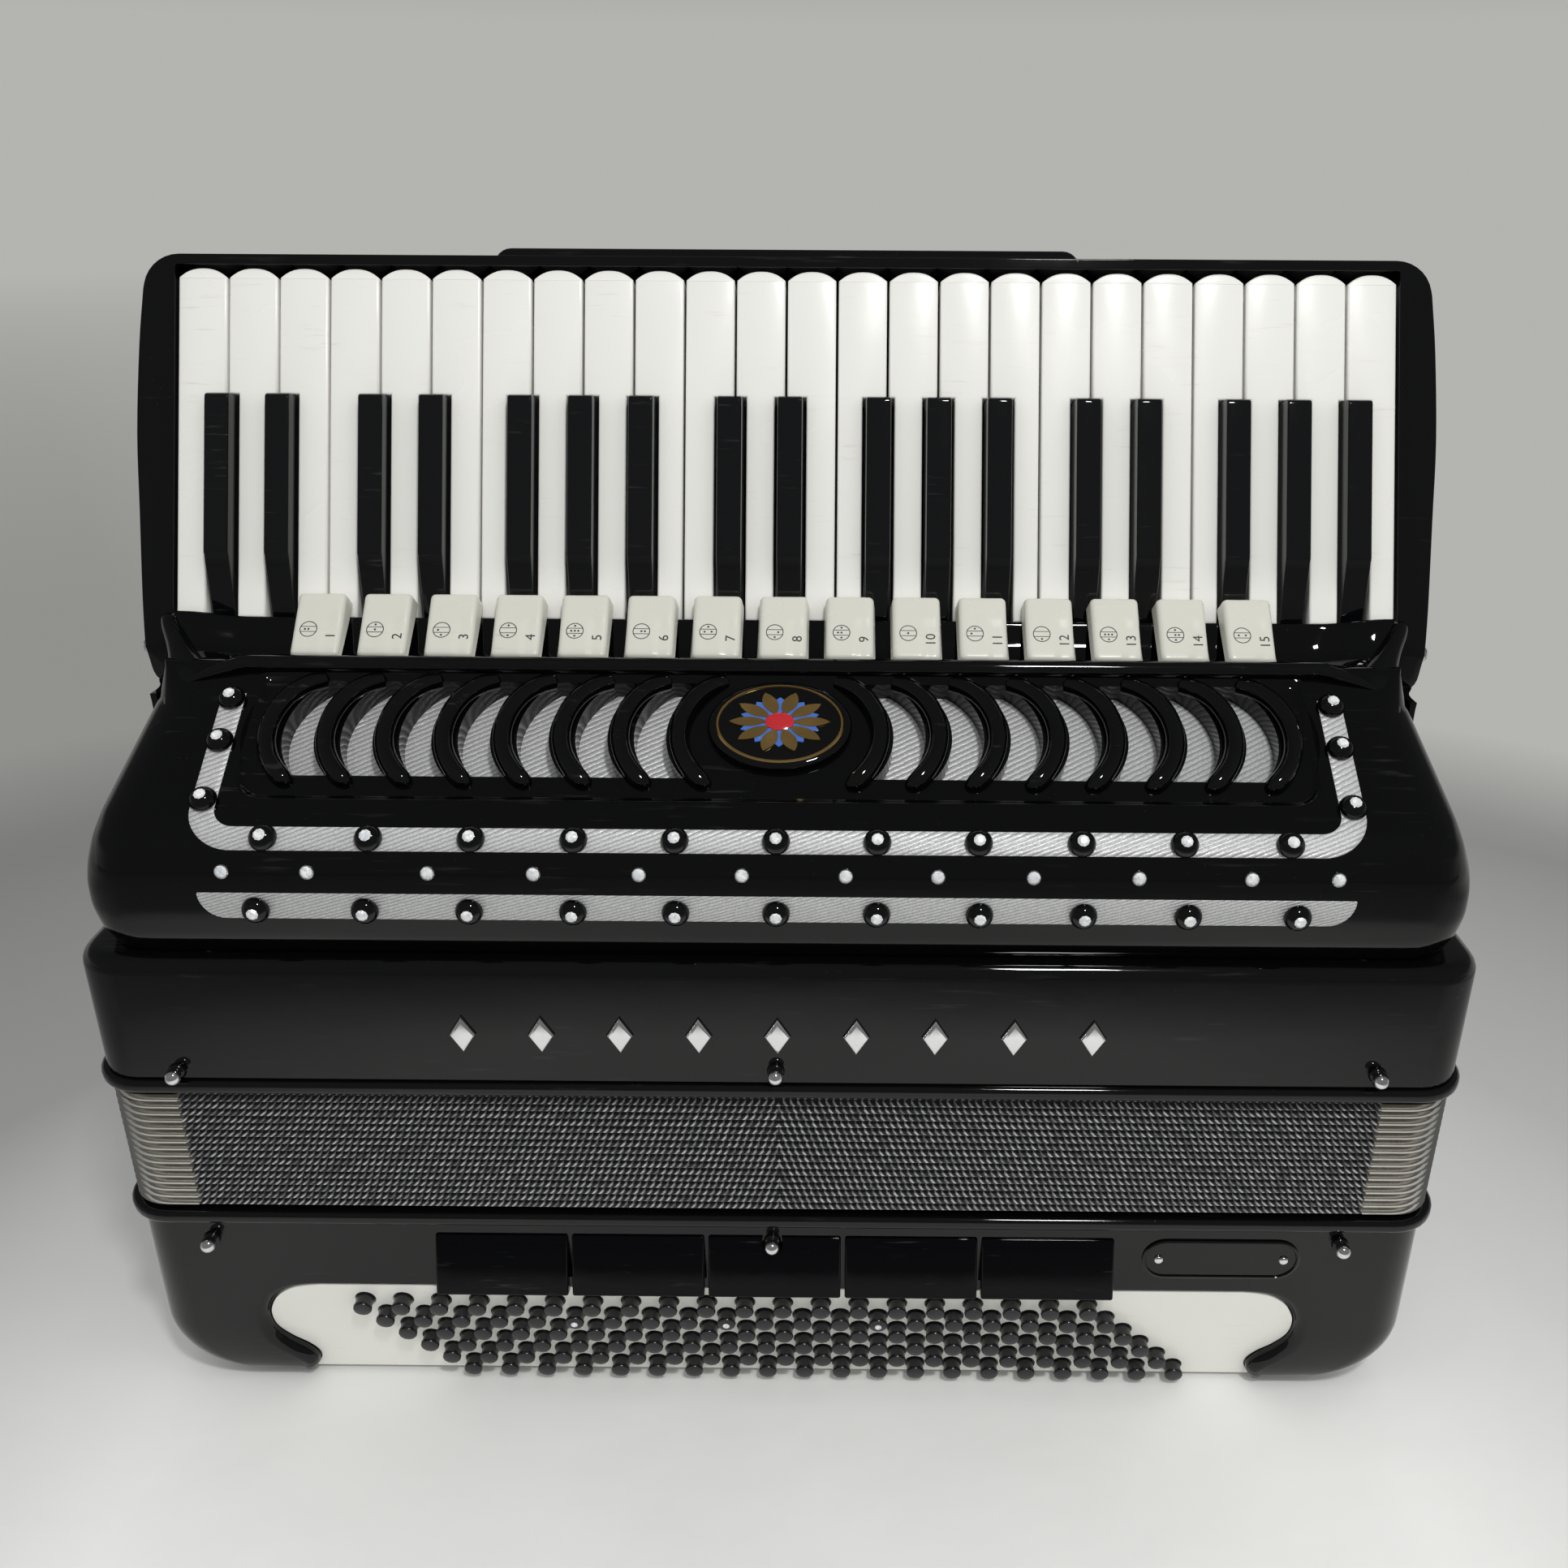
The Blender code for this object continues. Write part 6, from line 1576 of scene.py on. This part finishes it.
def make_floor_material():
    """Pale cloth with faint creases, a little darker in their hollows as painted shade, that turns dark in front;
    round it the floor is duller, and further out darker, as painted shade of falling light; and the room's own
    grey far behind, where rays that look at it see that grey by itself. A painted shadow darkens the floor
    and that grey on the left."""
    material, tree, shader, place = new_material("floor_cloth")
    shader.inputs["Roughness"].default_value = 0.85
    crease = noise(tree, place, 7.0, 5.0)
    parts = add_node(tree, "ShaderNodeSeparateXYZ", {"Vector": place}).outputs

    def distance(centre):
        return add_node(tree, "ShaderNodeVectorMath", {0: place, 1: centre}, operation="DISTANCE").outputs["Value"]

    away = distance((0.0, -0.35, 0.0))
    # Painted shadow: to the left of the instrument the floor and the room grey turn darker.
    leftward = ramp(tree, maths(tree, "DIVIDE", parts["X"], away), -0.12, -0.5)
    left = maths(tree, "MULTIPLY", leftward, ramp(tree, away, 1.6, 6.0, 1.0, 0.0))
    # Painted shade: the cloth is darker where the crease height is low, and the floor dulls round the instrument and
    # darkens further out.
    pale = mixed(tree, ramp(tree, crease, 0.3, 0.7), (0.78, 0.78, 0.76), (0.83, 0.83, 0.81))
    painted_shade_floor = mixed(tree, left, (0.41, 0.41, 0.40), (0.285, 0.285, 0.28))
    far = mixed(tree, left, (0.22, 0.22, 0.215), (0.19, 0.19, 0.185))
    from_front = distance((0.0, -0.2, 0.0))
    cloth = mixed(tree, ramp(tree, from_front, 0.50, 0.85), mixed(tree, ramp(tree, from_front, 0.25, 0.50), pale, painted_shade_floor), far)
    edge_wave = maths(tree, "ADD", parts["Y"], maths(tree, "MULTIPLY", crease, 0.05))
    # Darker floor in front, from y = -0.36 to -0.52 m.
    in_front = ramp(tree, edge_wave, -0.36, -0.52)
    tree.links.new(mixed(tree, in_front, cloth, (0.17, 0.17, 0.165)), shader.inputs["Base Color"])
    bumped(tree, shader, crease, 0.004)
    rays = add_node(tree, "ShaderNodeLightPath").outputs
    looking = maths(tree, "MAXIMUM", rays["Is Camera Ray"], maths(tree, "MAXIMUM", rays["Is Glossy Ray"], rays["Is Transmission Ray"]))
    behind = maths(tree, "MULTIPLY", ramp(tree, away, 0.92, 1.15), ramp(tree, parts["Y"], -0.6, 0.1, 0.0, 1.0))
    # Painted shadow: the room grey is darker on the left.
    room = mixed(tree, left, ROOM_GREY, tuple(0.62 * value for value in ROOM_GREY))
    glow = add_node(tree, "ShaderNodeEmission", {"Color": room, "Strength": 1.0})
    both = add_node(tree, "ShaderNodeMixShader", {0: maths(tree, "MULTIPLY", behind, looking), 1: shader.outputs[0], 2: glow.outputs[0]})
    tree.links.new(both.outputs[0], tree.nodes["Material Output"].inputs["Surface"])
    return material


corners = np.array([(-1, -1), (1, -1), (1, 1), (-1, 1)]) * FLOOR_REACH
floor_mesh = bpy.data.meshes.new("floor")
floor_mesh.from_pydata([(x, y, -0.0004) for x, y in corners.tolist()], [], [(0, 1, 2, 3)])
floor_mesh.materials.append(make_floor_material())
floor = bpy.data.objects.new("floor", floor_mesh)
bpy.context.scene.collection.objects.link(floor)
print("floor:", 2 * FLOOR_REACH, "m across")


# %% Lamps and world
def soft_lamp(name, place, target, size, power):
    """A rectangular area lamp that faces a target."""
    data = bpy.data.lights.new(name, "AREA")
    data.shape = "RECTANGLE"
    data.size, data.size_y = size
    data.energy = power
    lamp = bpy.data.objects.new(name, data)
    bpy.context.scene.collection.objects.link(lamp)
    lamp.location = place
    lamp.rotation_euler = (Vector(target) - Vector(place)).to_track_quat("-Z", "Y").to_euler()
    return lamp


soft_lamp("key_lamp", (0.32, -0.85, 1.45), (0.0, 0.0, 0.2), (0.14, 0.14), 8.0)
world = bpy.data.worlds.new("studio")
bpy.context.scene.world = world
world.use_nodes = True
sky = world.node_tree
direction = add_node(sky, "ShaderNodeTexCoord").outputs["Generated"]
parts = add_node(sky, "ShaderNodeSeparateXYZ", {"Vector": direction}).outputs
ahead = ramp(sky, parts["Y"], -0.5, 0.35)
overhead = ramp(sky, parts["Z"], 0.06, 0.25)
behind = mixed(sky, overhead, ROOM_GREY, (0.10, 0.101, 0.10))
seen = mixed(sky, ahead, (0.17, 0.171, 0.17), behind)
soft = mixed(sky, ramp(sky, parts["X"], -0.7, 0.7), (0.72, 0.725, 0.73), (1.02, 1.02, 1.01))
rays = add_node(sky, "ShaderNodeLightPath").outputs
looking = maths(sky, "MAXIMUM", rays["Is Camera Ray"], maths(sky, "MAXIMUM", rays["Is Glossy Ray"], rays["Is Transmission Ray"]))
sky.links.new(mixed(sky, looking, soft, seen), sky.nodes["Background"].inputs["Color"])
bpy.context.scene.view_settings.view_transform = "Standard"
print("lamps:", len(bpy.data.lights))

# %% Last update
bpy.context.view_layer.update()
